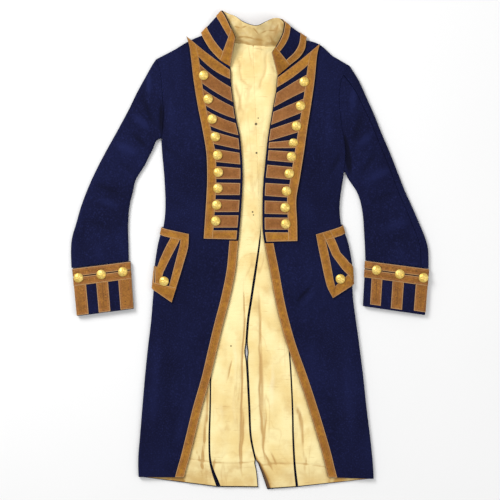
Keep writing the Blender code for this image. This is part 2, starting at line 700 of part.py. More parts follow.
def flap_point(side, down, across):
    """A point of the front under a flap; across runs from its front edge (0) round the side (1)."""
    front_x, front_y, side_y = smooth(FLAP[side], down * (len(FLAP[side]) - 1))
    side_places = np.linspace(0, ARMPIT_ROW, 200)
    side_ys = [smooth(BODY[side], place)[3] for place in side_places]
    y = front_y + (side_y - front_y) * across
    place = float(np.interp(y, side_ys, side_places))
    row = smooth(BODY[side], place)
    edge_x, outer_x = row[0], row[2]
    turn_x = outer_x - math.copysign(SIDE_ROUND, outer_x)
    if across <= FLAP_FLAT_PART:
        x = front_x + (turn_x - front_x) * across / FLAP_FLAT_PART
        return front_point(side, place, (x - edge_x) / (turn_x - edge_x))
    return front_point(side, place, 1 + FLAP_ROUND * (across - FLAP_FLAT_PART) / (1 - FLAP_FLAT_PART))


def make_flap(side):
    downs = spread(0, 1, 10)
    across = spread(0, FLAP_FLAT_PART, 5) + spread(FLAP_FLAT_PART, 1, 5)[1:]
    base = np.array([[flap_point(side, down, a) for a in across] for down in downs])
    laid_on("pocket_flap_" + side, base, FLAP_GAP, FLAP_WALL, NAVY)
    make_flap_lace(side)


def make_flap_lace(side):
    """A frame along three edges of a flap, and a strip that slants down to the side.

    Both are the flap's points moved out. Below its end the strip spreads to the side.
    """
    strip_columns = 8
    downs = FLAP_LACE_DOWNS
    first, last = downs[1], downs[FLAP_STRIP_ROWS]
    grid = []
    for down in downs:
        slant = min(1.0, max(0.0, (down - first) / (last - first)))
        low, high = [top + (end - top) * slant for top, end in zip(FLAP_STRIP_TOP, FLAP_STRIP_END)]
        across = [FLAP_LACE_EDGE, FLAP_LACE_BAND] + spread(low, high, strip_columns)
        across += spread(high, 1, 4)[1:]
        grid.append([flap_point(side, down, a) for a in across])

    def is_lace(row, column):
        in_frame = row in (0, len(downs) - 2) or column == 0
        past_strip = 2 + strip_columns
        return in_frame or (column >= 2 and (column < past_strip or row >= FLAP_STRIP_ROWS))

    laid_on("flap_lace_" + side, grid, FLAP_GAP + FLAP_WALL + FLAP_LACE_GAP, LACE_WALL, BRONZE,
            keep=is_lace)


def make_collar():
    """The collar, the lace along its edges, and its lining behind the neck."""
    grid = np.array([[collar_point(place, up) for place in COLLAR_PLACES] for up in COLLAR_UPS])
    wall("collar", grid, COLLAR_WALL, NAVY)
    bands = (0, len(COLLAR_UPS) - 2)
    after = len(COLLAR_PLACES) - 1 - COLLAR_FRONT_COLUMNS
    laid_on("collar_lace", grid, LAYER_GAP, LACE_WALL, BRONZE,
            keep=lambda r, c: r in bands or c < COLLAR_FRONT_COLUMNS or c >= after)
    start, end = COLLAR_LINING_PLACES
    inside = -(COLLAR_WALL + LAYER_GAP + LINING_WALL)
    laid_on("collar_lining", grid, inside, LINING_WALL, CREAM,
            keep=lambda r, c: start <= COLLAR_PLACES[c] and COLLAR_PLACES[c + 1] <= end)


def make_buttons(side):
    on_lapel = LAPEL_GAP + LAPEL_WALL + LAYER_GAP + LACE_WALL + 2 * LAYER_GAP
    for number, (x, y) in enumerate(LAPEL_BUTTONS[side], 1):
        turned_button(f"lapel_button_{side}_{number}", x, y, front_height(side, x, y) + on_lapel)
    on_cuff = CUFF_HEIGHT + LACE_WALL + 3 * LAYER_GAP
    for number, (x, y) in enumerate(CUFF_BUTTONS[side], 1):
        turned_button(f"cuff_button_{side}_{number}", x, y, on_cuff)
    x, y = FLAP_BUTTON[side]
    on_flap = FLAP_GAP + FLAP_WALL + FLAP_LACE_GAP + LACE_WALL + LAYER_GAP
    turned_button("flap_button_" + side, x, y, front_height(side, x, y) + on_flap)


def main():
    for thing in list(bpy.data.objects):
        bpy.data.objects.remove(thing, do_unlink=True)
    for side in ("left", "right"):
        make_front(side)
        make_back(side)
        make_back_lining(side)
        make_side_lining(side)
        make_sleeve(side)
        make_cuff(side)
        make_cuff_lace(side)
        make_lapel(side)
        make_front_lace(side)
        make_flap(side)
        make_buttons(side)
    make_collar()


main()
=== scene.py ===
"""Looks of the napoleon coat: cloth, lining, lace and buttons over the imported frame.

Tables are in millimetres in the frame's axes, and objects in metres.
Left and right are those of the plan view, with the collar at the top.
"""
import math
from functools import partial

import bpy
import numpy as np
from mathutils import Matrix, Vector


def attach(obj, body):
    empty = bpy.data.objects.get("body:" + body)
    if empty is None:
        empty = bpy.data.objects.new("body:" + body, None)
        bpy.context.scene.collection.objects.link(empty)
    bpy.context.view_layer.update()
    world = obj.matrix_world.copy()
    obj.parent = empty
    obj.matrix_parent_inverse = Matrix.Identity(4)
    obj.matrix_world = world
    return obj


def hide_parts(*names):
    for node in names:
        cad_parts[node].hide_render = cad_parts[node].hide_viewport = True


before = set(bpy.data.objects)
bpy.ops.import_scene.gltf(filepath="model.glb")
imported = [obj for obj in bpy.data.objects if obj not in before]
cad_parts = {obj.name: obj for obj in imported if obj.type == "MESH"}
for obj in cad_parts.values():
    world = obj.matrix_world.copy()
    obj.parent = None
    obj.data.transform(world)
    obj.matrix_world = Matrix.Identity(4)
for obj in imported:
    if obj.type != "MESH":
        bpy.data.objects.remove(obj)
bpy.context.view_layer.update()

MM = 0.001
SIDES = ("left", "right")

# Driving dimensions of the construction, and how far cut edges are rounded
WALL = 2.8
LAPEL_WALL = 2.0
FLAP_WALL = 2.0
CUFF_WALL = 3.7
COLLAR_WALL = 2.6
LINING_WALL = 1.0
LACE_WALL = 0.9
EDGE_ROUND = 1.2
LAYER_EDGE_ROUND = 0.8
LINING_EDGE_ROUND = 0.45
BACK_EDGE_ROUND = 1.0
COLLAR_EDGE_ROUND = 1.1
SEAM_GAP = 0.4
LAYER_GAP = 0.3
LAPEL_GAP = 0.5
SIDE_HEIGHT = 9.6
EDGE_HEIGHT = 7.4
SIDE_ROUND = 7.0
CUFF_HEIGHT = 11.4
BUTTON_RADIUS = 10.3
LACE_WIDTH = 20.5
FRONT_LACE_WIDTH = 19.5
FRONT_LACE_TOP = {"left": 10.28, "right": 10.14}
VENT_TOP = 37.0
BACK_NECK = 447.0
CENTRE_AT_VENT = 23.0
CENTRE_SLOPE = -0.039
SHOULDER_CURL_ROWS = 0.5
SHOULDER_HEIGHT = 5.2
CHEST_RISE = 2.0
CHEST_Y = 240
CHEST_LENGTH = 120
LINING_RISE = 1.7
LINING_LEAST = -0.2
LINING_LEVEL_WIDTH = 13
HEM_SEAM_WIDTH = 2.0
HEM_SEAM_DEPTH = 0.5
RIPPLE_TURNS = (0.3, 1.4, 2.3, 3.7, 5.1)
RIPPLE_PHASE = {"left": 4, "right": 5}
SLIT_WIDTH = 0.3
GAPE_WIDTH = 4.6
GAPE_LENGTH = 13.0
GAPE_Y = -224.0
HEM_GAPE_Y = -462.0

# Body, hem to shoulder. Columns: front edge x, y; side or armhole x, y;
# side-back seam x, y; centre back x, y
BODY_LEFT = [
    (-145, -500, -245, -499, -73, -521, 18, -522),
    (-139, -478, -246, -475, -84, -488, 15, -488),
    (-131, -449, -245.5, -451, -90, -458, 9, -458),
    (-121, -409, -242, -409, -91, -409, 1, -409),
    (-106, -348, -237, -348, -89, -348, -2, -348),
    (-86, -278, -231, -278, -88, -280, -5.5, -276),
    (-71, -214, -224.5, -214, -88, -216, -10.5, -216),
    (-58, -160, -218, -160, -88, -162, -5.5, -162),
    (-44, -106, -213.5, -106, -87.5, -106, 2.5, -106),
    (-32, -48, -208.5, -48, -87, -45, 11.7, -45),
    (-26.5, 6, -201, 6, -86.5, 9, 19.5, 10),
    (-22, 56, -189.5, 56, -89, 60, 22.5, 45),
    (-18, 110, -186, 100, -98, 115, 20, 115),
    (-16, 172, -188.5, 160, -120, 178, 17, 180),
    (-18.5, 215, -193, 210, -152, 218, 16, 225),
    (-22, 250, -195, 242, -184, 240.5, 14, 260),
    (-23.5, 258, -194.4, 247, -194.4, 247, 14, 270),
    (-31, 292, -191.2, 290, -191.2, 290, 12, 305),
    (-37.5, 335, -191.8, 335, -191.8, 335, 11, 345),
    (-41.5, 368, -194.5, 370, -194.5, 370, 9, 385),
    (-43.9, 403.4, -198, 395, -198, 395, 7, 447),
    (-65.3, 417.1, -200.5, 403, -200.5, 403, -31, 455),
    (-85.9, 438.2, -202.5, 410, -202.5, 410, -72, 462.5),
    (-98.4, 456.7, -204, 415.5, -204, 415.5, -95, 467),
    (-106, 471.8, -205, 420, -205, 420, -108, 471),
]
BODY_RIGHT = [
    (172, -500, 272, -503, 106, -521, 38, -526),
    (166, -478, 271, -480, 102, -491, 26, -491),
    (159, -449, 268.5, -450, 99, -458, 14, -458),
    (147.5, -409, 264, -409, 96.5, -409, 2.2, -409),
    (129, -348, 256.5, -348, 95, -348, -0.8, -348),
    (106, -278, 249, -278, 91.5, -276, -4.3, -276),
    (83, -214, 241, -214, 87.5, -216, -5, -216),
    (67, -160, 233, -155, 86, -162, -4.3, -162),
    (54.5, -106, 226.5, -104, 85, -106, 3.7, -106),
    (44, -48, 223, -40, 84.5, -45, 12.9, -45),
    (33, 8, 214, 12, 84, 9, 21, 10),
    (27.5, 50, 201, 53, 86, 50, 23, 45),
    (27.2, 90, 197, 92, 95, 95, 20, 95),
    (28, 128, 200.5, 130, 120, 132, 18, 135),
    (30, 160, 204.5, 155, 155, 157, 17, 165),
    (32, 178, 206, 168, 190, 168.5, 16, 182),
    (33, 188, 206.4, 173, 206.4, 173, 15, 195),
    (38, 238, 209.8, 216, 209.8, 216, 13, 245),
    (45, 282, 203, 268, 203, 268, 12, 290),
    (52, 322, 197, 315, 197, 315, 11, 335),
    (57.5, 352, 196.5, 345, 196.5, 345, 10, 380),
    (60.3, 382.6, 200.5, 372, 200.5, 372, 7, 447),
    (87.3, 405.6, 206, 384, 206, 384, 44, 446),
    (108.4, 422.7, 210.5, 393, 210.5, 393, 80, 449),
    (120.5, 440.8, 214, 400, 214, 400, 105, 456),
    (124, 460.9, 217, 406, 217, 406, 123, 461),
]
BODY = {"left": BODY_LEFT, "right": BODY_RIGHT}
ARMPIT_ROW = 15
SHOULDER_BULGE = {"left": 2.6, "right": 8.0}
SHOULDER_BULGE_ROWS = 3.0
SHOULDER_BULGE_PART = 0.6

# Sleeves, armhole to cuff. Columns: outer edge x, y; inner edge x, y
SLEEVE_LEFT = [
    (-205.6, 420.4, -196.0, 245.4),
    (-216, 405, -202, 242.5),
    (-231, 378, -207, 238),
    (-249, 345, -213, 223),
    (-267, 308, -221, 207),
    (-290, 265, -231, 187),
    (-315, 220, -243, 168),
    (-337, 178, -252, 152),
    (-355, 139, -257, 130),
    (-371, 97, -264, 101),
    (-382, 59, -267, 75),
    (-391.5, 26, -268, 44),
    (-393.8, -4, -267, 11),
    (-392.6, -39.4, -266.3, -23.8),
]
SLEEVE_RIGHT = [
    (217.6, 406.4, 207.8, 171.6),
    (229, 389, 209.4, 170),
    (242, 367, 210.8, 167.5),
    (257, 333, 212.4, 164),
    (274, 295, 214.6, 158.4),
    (290, 255, 223.5, 145),
    (308, 213, 233, 131),
    (326, 167, 241, 112),
    (341, 129, 246, 90),
    (356, 96, 249, 68),
    (372, 59, 250.5, 42),
    (385.5, 26, 252, 18),
    (392.2, -4, 253, -4),
    (392.8, -40.4, 253.4, -22.2),
]
SLEEVE = {"left": SLEEVE_LEFT, "right": SLEEVE_RIGHT}
ARMHOLE_FADE_ROWS = {"left": 5.0, "right": 4.0}
HIND_SEAM = {"left": -0.35, "right": 0.08}
FORE_SEAM = 2.15
SLEEVE_START = {"left": -0.035, "right": -0.025}
UNDER_SEAM_SHIFT = 0.03
ARMHOLE_CLOSE = 1.1
ARMPIT_NOTCH = 0.12
SLEEVE_HEIGHT = 9.6

# Cuffs. Columns: outer edge x, y; inner edge x, y; top row, then hem row
CUFF = {
    "left": [(-390, -40.2, -262.6, -24.3), (-380.2, -145.2, -255, -129)],
    "right": [(392.9, -41.0, 253.4, -22.7), (384.8, -143.2, 248, -123.4)],
}
CUFF_BAND = 0.37
CUFF_SLIT = 0.185
CUFF_SLIT_PART = 0.0105
CUFF_STRIPS = {
    "left": [(-0.4, 0.17, 1.0), (0.37, 0.60, 1.0), (0.80, 1.3, 1.0)],
    "right": [(-0.4, 0.15, 0.95), (0.36, 0.56, 0.97), (0.74, 0.93, 0.95)],
}

# Lapels. Outer outline, top to bottom: x, y
LAPEL_OUTER = {
    "left": [(-140, 470), (-134, 449), (-130.2, 422), (-124, 370), (-115.3, 317),
             (-104.7, 264), (-96.2, 211), (-94.6, 158), (-96.6, 110), (-99.7, 62),
             (-102.3, 24)],
    "right": [(155, 455), (151, 442), (147.4, 422), (142.1, 370), (134.4, 317),
              (126, 264), (118.6, 211), (110, 158), (102.2, 110), (104, 62), (104.6, 20)],
}
# Lace strips across the lapel, top to bottom. Columns: top and bottom y at the outer edge,
# top and bottom y at the inner edge, sag of the top and of the bottom line at the middle
LAPEL_STRIPS = {
    "left": [
        (470, 447, 395, 375, 2, 10), (429, 381.5, 356.5, 324.5, 6.5, 3.5),
        (369.5, 330, 313.5, 287.5, 4, 4.5), (319.5, 281.5, 277.5, 251.5, 4.5, 3),
        (269, 238, 244, 220, 1, 0.5), (225.5, 195.5, 212.7, 187.6, 0, 0),
        (185.7, 156, 179.4, 156, 0, 0), (148.6, 120.8, 146.8, 120.8, 0, 0),
        (112.5, 83.3, 109.5, 83.8, 0, 0), (76.1, 49.3, 76.1, 49.3, 0, 0),
        (43.1, 25, 42.9, 23, 0, 0),
    ],
    "right": [
        (454, 425, 378, 356.5, 2, 5), (396.5, 358, 344, 312.5, -1, -1.5),
        (341, 309.6, 302, 273.7, 0, 0), (294, 264.6, 264.4, 238.3, 0, 0),
        (247, 224.2, 236.6, 223.5, 1.5, 0), (214, 190, 219.8, 197.3, 0, 0),
        (180.2, 152.7, 187.8, 159.3, 0, 0), (143, 114, 147.5, 119.5, 0, 0),
        (105.5, 77.7, 108.9, 79.7, 0, 0), (70.6, 44.7, 71.6, 44.7, 0, 0),
        (38.3, 20, 39.2, 18, 0, 0),
    ],
}
LAPEL_EDGE_MARGIN = 5.0

# Pocket flaps, top to bottom. Columns: front edge x, y; y at the side fold
FLAP = {
    "left": [(-133, 36, 51), (-134, 9.5, 27), (-143, -25, -2), (-152, -55, -32),
             (-161, -83, -58), (-171.6, -117, -84)],
    "right": [(143.4, 35.9, 56), (148.5, 8, 30), (156, -27, 3), (162, -55, -25),
              (169, -82, -50), (181.7, -106.7, -74)],
}
FLAP_ROUND = 0.55
FLAP_FLAT_PART = 0.72
FLAP_GAP = 0.7
FLAP_LACE_GAP = 0.9

# Collar band, front corner to front corner. Columns: neck seam x, y, z; top edge x, y, z
COLLAR = [
    (-43.5, 404, 8.4, -32, 466, 27),
    (-65, 417.5, 9.4, -40, 485, 28),
    (-85.5, 438.5, 10, -48.5, 504, 27),
    (-98, 457, 9.8, -55, 517, 24),
    (-105.5, 472, 8, -60, 524, 20.5),
    (-106.5, 477, 5, -61.5, 526.5, 17),
    (-99, 474.5, 2.2, -56, 523.5, 14.5),
    (-85, 469.5, 1.9, -44, 518, 16),
    (-60, 464.5, 1.9, -31, 513, 20),
    (-31, 458.7, 1.9, -12, 500, 28),
    (7, 450.6, 1.9, 13, 493, 32),
    (44, 449.6, 1.9, 33, 501, 28),
    (80, 452.8, 1.9, 47, 507.5, 21),
    (101, 459.5, 1.9, 58, 509.5, 16.5),
    (115, 467, 2.6, 68, 508, 15),
    (123.5, 468, 5, 75, 499.5, 18),
    (123.5, 461, 8.4, 74.5, 490, 21.5),
    (120, 441, 9.8, 71.5, 476, 24.5),
    (108, 423, 9.8, 64, 459, 27),
    (87, 406, 9.4, 56, 445, 28),
    (60.5, 383.5, 8.4, 48, 433, 27),
]
COLLAR_LAST = len(COLLAR) - 1
COLLAR_LACE_PART = 0.27
COLLAR_FRONT_LACE = 1.05
COLLAR_RIM = 0.972
COLLAR_LINING_PLACES = (5.35, 14.65)

# Buttons: x, y
LAPEL_BUTTONS = {
    "left": [(-101.9, 383.9), (-92.2, 331.8), (-83.2, 287.8), (-76.1, 248.8), (-71.3, 208.6),
             (-69.7, 170.9), (-70.8, 135.5), (-73.3, 99.0), (-75.5, 63.8)],
    "right": [(118.8, 369.8), (110.9, 316.8), (101.9, 272.6), (95.3, 235.2), (91.1, 205.3),
              (86.2, 168.1), (80.1, 129.4), (77.2, 93.3), (78.3, 57.4)],
}
CUFF_BUTTONS = {
    "left": [(-376.9, -60.9), (-326.9, -53.7), (-279.4, -47.7)],
    "right": [(381.0, -60.9), (328.9, -52.8), (278.1, -43.8)],
}
FLAP_BUTTON = {"left": (-189.0, -68.6), "right": (198.5, -63.4)}

# Creases. Columns: from x, y; to x, y; height (negative for a trough); half width
FRONT_CREASES = {
    "left": [
        (-176, 350, -168, 215, 0.8, 14),
        (-189, 335, -191, 246, -1.8, 5),
        (-150, 290, -160, 120, -0.7, 13),
        (-196, 236, -160, 205, -1.2, 7),
        (-188, 214, -140, 150, 0.7, 9),
        (-193, 118, -120, 84, -0.8, 9),
        (-150, 62, -108, 30, 0.6, 10),
        (-128, -20, -112, -120, -0.7, 11),
        (-200, -150, -218, -440, 0.9, 17),
        (-172, -170, -190, -420, -0.8, 15),
        (-120, -260, -168, -470, 0.7, 16),
        (-205, -118, -182, -160, -0.7, 6),
        (-232, -330, -226, -480, -0.7, 10),
    ],
    "right": [
        (176, 330, 166, 190, 0.8, 14),
        (150, 300, 158, 130, -0.7, 14),
        (203, 226, 170, 150, -1.4, 8),
        (190, 176, 150, 110, 0.8, 9),
        (146, 186, 128, 150, -0.9, 5),
        (190, 66, 128, 44, -0.7, 8),
        (142, -72, 95, -121, -1.9, 5),
        (150, -84, 106, -132, 0.9, 7),
        (177, -124, 144, -150, -0.8, 7),
        (199, -215, 160, -240, -0.7, 8),
        (120, -190, 160, -330, 0.7, 16),
        (205, -180, 228, -440, 0.8, 18),
        (160, -250, 205, -470, -0.8, 16),
        (246, -330, 250, -480, -0.6, 10),
    ],
}
SLEEVE_CREASES = {
    "left": [
        (-222, 392, -222, 338, 2.0, 6),
        (-194.5, 330, -196, 252, -2.6, 4.5),
        (-240, 352, -206, 252, -1.4, 8),
        (-262, 300, -212, 262, 1.5, 11),
        (-262, 262, -222, 222, -1.5, 8),
        (-300, 236, -240, 208, 1.4, 12),
        (-292, 196, -248, 168, -1.1, 9),
        (-352, 150, -272, 118, -1.3, 9),
        (-342, 116, -282, 92, 1.1, 11),
        (-372, 70, -300, 46, -1.0, 10),
        (-340, 20, -330, -30, 0.8, 14),
        (-362, 30, -366, -30, -0.7, 9),
    ],
    "right": [
        (232, 372, 222, 300, 1.4, 9),
        (206, 256, 220, 168, -4.2, 6.5),
        (250, 312, 226, 224, -1.3, 9),
        (276, 262, 226, 222, 1.3, 11),
        (280, 222, 240, 160, -1.4, 9),
        (316, 182, 252, 150, 1.3, 12),
        (330, 132, 262, 104, -1.1, 9),
        (362, 70, 280, 40, 1.0, 13),
        (354, 34, 290, 12, -0.9, 10),
        (330, 10, 336, -30, 0.7, 14),
    ],
}
# Folds at least this deep have a thin painted line of shade
SHARP_FOLD = -1.9
# Bent folds of the lining: height, half width, points along the fold
LINING_FOLDS = [
    (-1.5, 4.0, [(-41, 427), (-29, 423), (-22, 410), (-23, 394), (-19, 374), (-3, 361), (6, 354)]),
    (-1.6, 4.5, [(-35, 372), (-29, 352), (-22, 333), (-21, 313), (-13, 297)]),
    (-1.3, 4.0, [(47, 444), (35, 431), (33, 418), (35, 405), (33, 388), (24, 372), (20, 341)]),
    (-1.4, 3.6, [(44, 410), (50, 401), (56, 388)]),
    (1.0, 5.0, [(-32, 402), (-31, 385), (-27, 372)]),
    (1.0, 5.0, [(42, 396), (43, 380), (38, 362)]),
    (-0.8, 4.0, [(-30, 322), (-24, 300), (-22, 276), (-16, 258)]),
    (-0.6, 4.0, [(-8, 330), (10, 345), (22, 366)]),
    (-1.9, 2.4, [(-14, -60), (-12, -170), (-18, -247), (-17, -308), (-19, -352), (-22, -440),
                 (-21, -490)]),
    (-2.2, 2.6, [(-91, -285), (-95, -352), (-101, -418), (-107, -512)]),
    (-1.2, 3.0, [(19, -90), (20, -121), (25, -214), (27, -308), (25, -396)]),
]
# Creases of the collar's lining and of the linings, with the same columns as the other creases; the collar
# lining's are only painted, as shade and highlight
COLLAR_CREASES = [
    (-38, 492, -19, 487, -2.4, 1.6),
    (-19, 487, -6, 492, -2.4, 1.6),
    (-29, 467, -12, 469, -2.6, 1.8),
    (-12, 469, 9, 464, -2.6, 1.8),
    (9, 464, 31, 460, -2.2, 2.0),
    (6, 488, 19, 473, -2.4, 1.6),
    (19, 473, 38, 482, -2.4, 1.6),
    (38, 482, 57, 482, -2.5, 1.8),
    (57, 482, 63, 497, -2.2, 1.8),
    (-44, 504, -30, 494, 1.2, 5),
    (-24, 478, 2, 478, 1.0, 5),
    (30, 494, 52, 494, 1.1, 6),
    (-36, 478, -33, 462, -2.6, 1.8),
    (44, 470, 52, 452, -2.0, 2.4),
]
LINING_CREASES = [
    (-15, 296, -10, 262, -0.6, 5),
    (-28, 262, -2, 330, -0.6, 5),
    (-30, 268, -18, 180, -0.8, 4),
    (-26, 140, -22, 40, -0.7, 4),
    (30, 330, 26, 210, -0.7, 5),
    (22, 190, 30, 60, -0.6, 5),
    (-15, -350, -19, -500, -1.5, 4),
    (-24, -200, -26, -420, -0.7, 7),
    (20, -70, 22, -200, -0.8, 4),
    (22, -160, 21, -310, -1.1, 3.5),
    (20, -270, 25, -400, -1.3, 3.5),
    (23, -360, 34, -470, -1.2, 4),
    (27, -230, 32, -420, -0.7, 7),
    (-29, 40, -31, -30, -1.0, 3.5),
    (-42, -60, -60, -200, -0.8, 5),
    (-50, -180, -58, -330, -0.6, 6),
    (46, -200, 40, -300, -0.7, 5),
    (62, -130, 66, -300, -0.6, 5),
    (38, -330, 30, -420, -0.9, 3.5),
    (30, -440, 52, -488, -1.6, 5),
    (20, -432, 44, -462, 1.0, 5),
    (46, -442, 60, -476, -1.0, 4),
    (54, -462, 92, -478, -0.7, 3.5),
    (-40, -430, -70, -470, -0.7, 5),
    (-76, -455, -84, -500, -1.1, 5),
    (-112, -330, -104, -400, -0.8, 4),
    (-120, -430, -104, -480, -1.0, 5),
    (100, -330, 116, -400, -0.9, 5),
    (128, -440, 120, -490, -0.9, 5),
    (2, 300, 0, 120, 0.7, 8),
    (-8, 230, -6, 90, -0.8, 4),
    (20, 200, 18, 80, -0.6, 5),
    (-29, 40, -30, -26, -1.2, 4),
    (-30, -120, -34, -440, 1.2, 9),
    (44, -160, 50, -430, 1.3, 10),
    (-37.8, -233, -52.8, -292, -1.3, 4),
    (-60, -300, -66, -440, 0.9, 9),
    (70, -300, 76, -450, 0.9, 9),
    (60, -440, 88, -470, -0.8, 4),
    (-108, -400, -122, -505, 0.6, 8),
    (108, -350, 120, -460, -1.5, 5),
    (118, -400, 140, -505, 0.6, 8),
]


def clamp(values):
    return np.clip(values, 0, 1)


def bell(distance, width):
    """1 at no distance, falling smoothly to almost nothing at two widths."""
    return np.exp(-(distance / width) ** 2)


def spline(table, places):
    """Rows of a table on a smooth curve through it that doesn't turn back; places count the rows."""
    rows = np.asarray(table, float)
    places = np.asarray(places, float)
    steps = np.diff(rows, axis=0)
    before = np.concatenate([steps[:1], steps])
    after = np.concatenate([steps, steps[-1:]])
    slopes = (before + after) / 2
    slopes[[0, -1]] /= 2
    least = np.minimum(np.abs(before), np.abs(after))
    limit = np.where(before * after > 0, 3 * least, np.inf)
    slopes = np.clip(slopes, -limit, limit)
    first = np.clip(np.floor(places).astype(int), 0, len(rows) - 2)
    part = (places - first)[..., None]
    ahead = part * part * (3 - 2 * part)
    return (rows[first] + (rows[first + 1] - rows[first]) * ahead
            + slopes[first] * part * (1 - part) ** 2
            - slopes[first + 1] * part * part * (1 - part))


def unit(vectors):
    return vectors / np.maximum(np.linalg.norm(vectors, axis=-1, keepdims=True), 1e-9)


def finely(points):
    """Closely spaced points on the smooth curve through a table."""
    return spline(points, np.linspace(0, len(points) - 1, 12 * (len(points) - 1) + 1))


def line_through(points):
    """Closely spaced points on the smooth curve through a table, in order of y."""
    line = finely(points)
    return line[np.argsort(line[:, 1])]


EDGE_LINE = {side: line_through([row[0:2] for row in BODY[side]]) for side in SIDES}
SIDE_LINE = {side: line_through([row[2:4] for row in BODY[side]]) for side in SIDES}
LAPEL_LINE = {side: line_through(LAPEL_OUTER[side]) for side in SIDES}
CENTRE_LINE = {side: line_through([row[6:8] for row in BODY[side][:16]]) for side in SIDES}


def x_at(line, y):
    return np.interp(y, line[:, 1], line[:, 0])


def faded(along, slope, least):
    """1 along most of a crease, and less towards both its ends."""
    return clamp(slope * np.minimum(along, 1 - along) + least)


def creases(table, x, y):
    """Height that soft ridges and troughs add at points."""
    total = np.zeros(np.broadcast(x, y).shape)
    for from_x, from_y, to_x, to_y, height, half_width in table:
        run_x, run_y = to_x - from_x, to_y - from_y
        along = ((x - from_x) * run_x + (y - from_y) * run_y) / (run_x ** 2 + run_y ** 2)
        held = clamp(along)
        off = (x - from_x - run_x * held) ** 2 + (y - from_y - run_y * held) ** 2
        total += height * faded(held, 2.2, 0.25) * np.exp(-off / half_width ** 2)
    return total


def folds(table, x, y):
    """Height of ridges and troughs that follow bent lines."""
    total = np.zeros(np.broadcast(x, y).shape)
    for height, half_width, points in table:
        nearest, along = np.full(total.shape, np.inf), np.zeros(total.shape)
        lengths = [math.dist(a, b) for a, b in zip(points, points[1:])]
        for k, ((ax, ay), (bx, by)) in enumerate(zip(points, points[1:])):
            held = clamp(((x - ax) * (bx - ax) + (y - ay) * (by - ay)) / lengths[k] ** 2)
            off = (x - ax - (bx - ax) * held) ** 2 + (y - ay - (by - ay) * held) ** 2
            along = np.where(off < nearest, (sum(lengths[:k]) + held * lengths[k]) / sum(lengths), along)
            nearest = np.minimum(nearest, off)
        total += height * faded(along, 4.0, 0.1) * np.exp(-nearest / half_width ** 2)
    return total


def ripple(x, y, amplitude, wavelength, phase=0.0):
    """Slight unevenness from a few waves that cross each other."""
    total = 0.0
    for k, turn in enumerate(RIPPLE_TURNS):
        length = wavelength * (0.65 + 0.21 * k)
        run = x * math.cos(turn + phase) + y * math.sin(turn + phase)
        total = total + np.sin(2 * math.pi * run / length + 1.9 * k + phase)
    return amplitude * total / len(RIPPLE_TURNS)


# Surfaces: each takes arrays of places and gives points in millimetres

def front_height(side, x, y):
    """Height of a front's upper face: low at the front edge, full at the side and the chest."""
    edge, outer = x_at(EDGE_LINE[side], y), x_at(SIDE_LINE[side], y)
    part = clamp((x - edge) / (outer - edge))
    rise = np.sin(part * math.pi / 2) ** 2
    chest = CHEST_RISE * np.sin(part * math.pi) ** 2 * bell(y - CHEST_Y, CHEST_LENGTH)
    moved = creases(FRONT_CREASES[side], x, y) + ripple(x, y, 0.45, 90, RIPPLE_PHASE[side])
    clear = clamp(part * 5)
    return EDGE_HEIGHT + (SIDE_HEIGHT - EDGE_HEIGHT) * rise + chest + moved * (0.25 + 0.75 * clear)


def front_surface(side, place, across):
    """A front: across is 0 to 1 on top, to 2 round the side fold, to 3 underneath."""
    place, across = np.broadcast_arrays(place, across)
    row = spline(BODY[side], place)
    edge, outer, seam = row[..., 0:2], row[..., 2:4], row[..., 4:6]
    toward = unit(outer - edge)
    side_round = SIDE_ROUND * clamp((ARMPIT_ROW + ARMPIT_NOTCH - place) / ARMPIT_NOTCH)[..., None]
    turn = outer - toward * side_round
    top = np.minimum(across, 1)[..., None]
    angle = math.pi * clamp(across - 1)
    under = np.maximum(across - 2, 0)[..., None]
    flat = edge + (turn - edge) * top
    last = len(BODY[side]) - 1
    bulge = SHOULDER_BULGE[side] * clamp(1 - (last - place) / SHOULDER_BULGE_ROWS)
    bulge = bulge * np.sin(math.pi * clamp(across / SHOULDER_BULGE_PART))
    height = front_height(side, flat[..., 0], flat[..., 1])
    left_over = clamp((last - place) / SHOULDER_CURL_ROWS)
    curl = np.sqrt(1 - (1 - left_over) ** 2)
    height = SHOULDER_HEIGHT + (height - SHOULDER_HEIGHT) * curl
    xy = flat + toward * side_round * np.sin(angle)[..., None] + (seam - turn) * under
    z = height * (1 + np.cos(angle)) / 2
    return np.stack([xy[..., 0], xy[..., 1] + bulge, z], axis=-1)


def centre_line(side, place):
    """A back's centre edge: a straight seam, and below it a slit that gapes once and at the hem."""
    line = spline(BODY[side], place)[..., 6:8]
    x, y = line[..., 0], line[..., 1]
    left, right = x_at(CENTRE_LINE["left"], y), x_at(CENTRE_LINE["right"], y)
    gape = SLIT_WIDTH + GAPE_WIDTH * bell(y - GAPE_Y, GAPE_LENGTH) + np.clip(HEM_GAPE_Y - y, 0, None)
    half = np.minimum(right - left, gape) / 2
    outward = -1 if side == "left" else 1
    slit = (left + right) / 2 + outward * half
    seam = CENTRE_AT_VENT + CENTRE_SLOPE * (y - VENT_TOP) + outward * SEAM_GAP / 2
    x = np.where(y < VENT_TOP, slit, np.where(y <= BACK_NECK, seam, x))
    return np.stack([x, y], axis=-1)


def armhole_bow(side, part):
    """How far the armhole bows from a straight line, from the shoulder (0) to the armpit (1)."""
    rows = np.array(BODY[side])[ARMPIT_ROW + 1:, 2:4][::-1]
    line = finely(rows)
    run = np.concatenate([[0], np.cumsum(np.linalg.norm(np.diff(line, axis=0), axis=1))])
    run /= run[-1]
    point = np.stack([np.interp(part, run, line[:, k]) for k in (0, 1)], axis=-1)
    return point - (line[0] + (line[-1] - line[0]) * part[..., None])


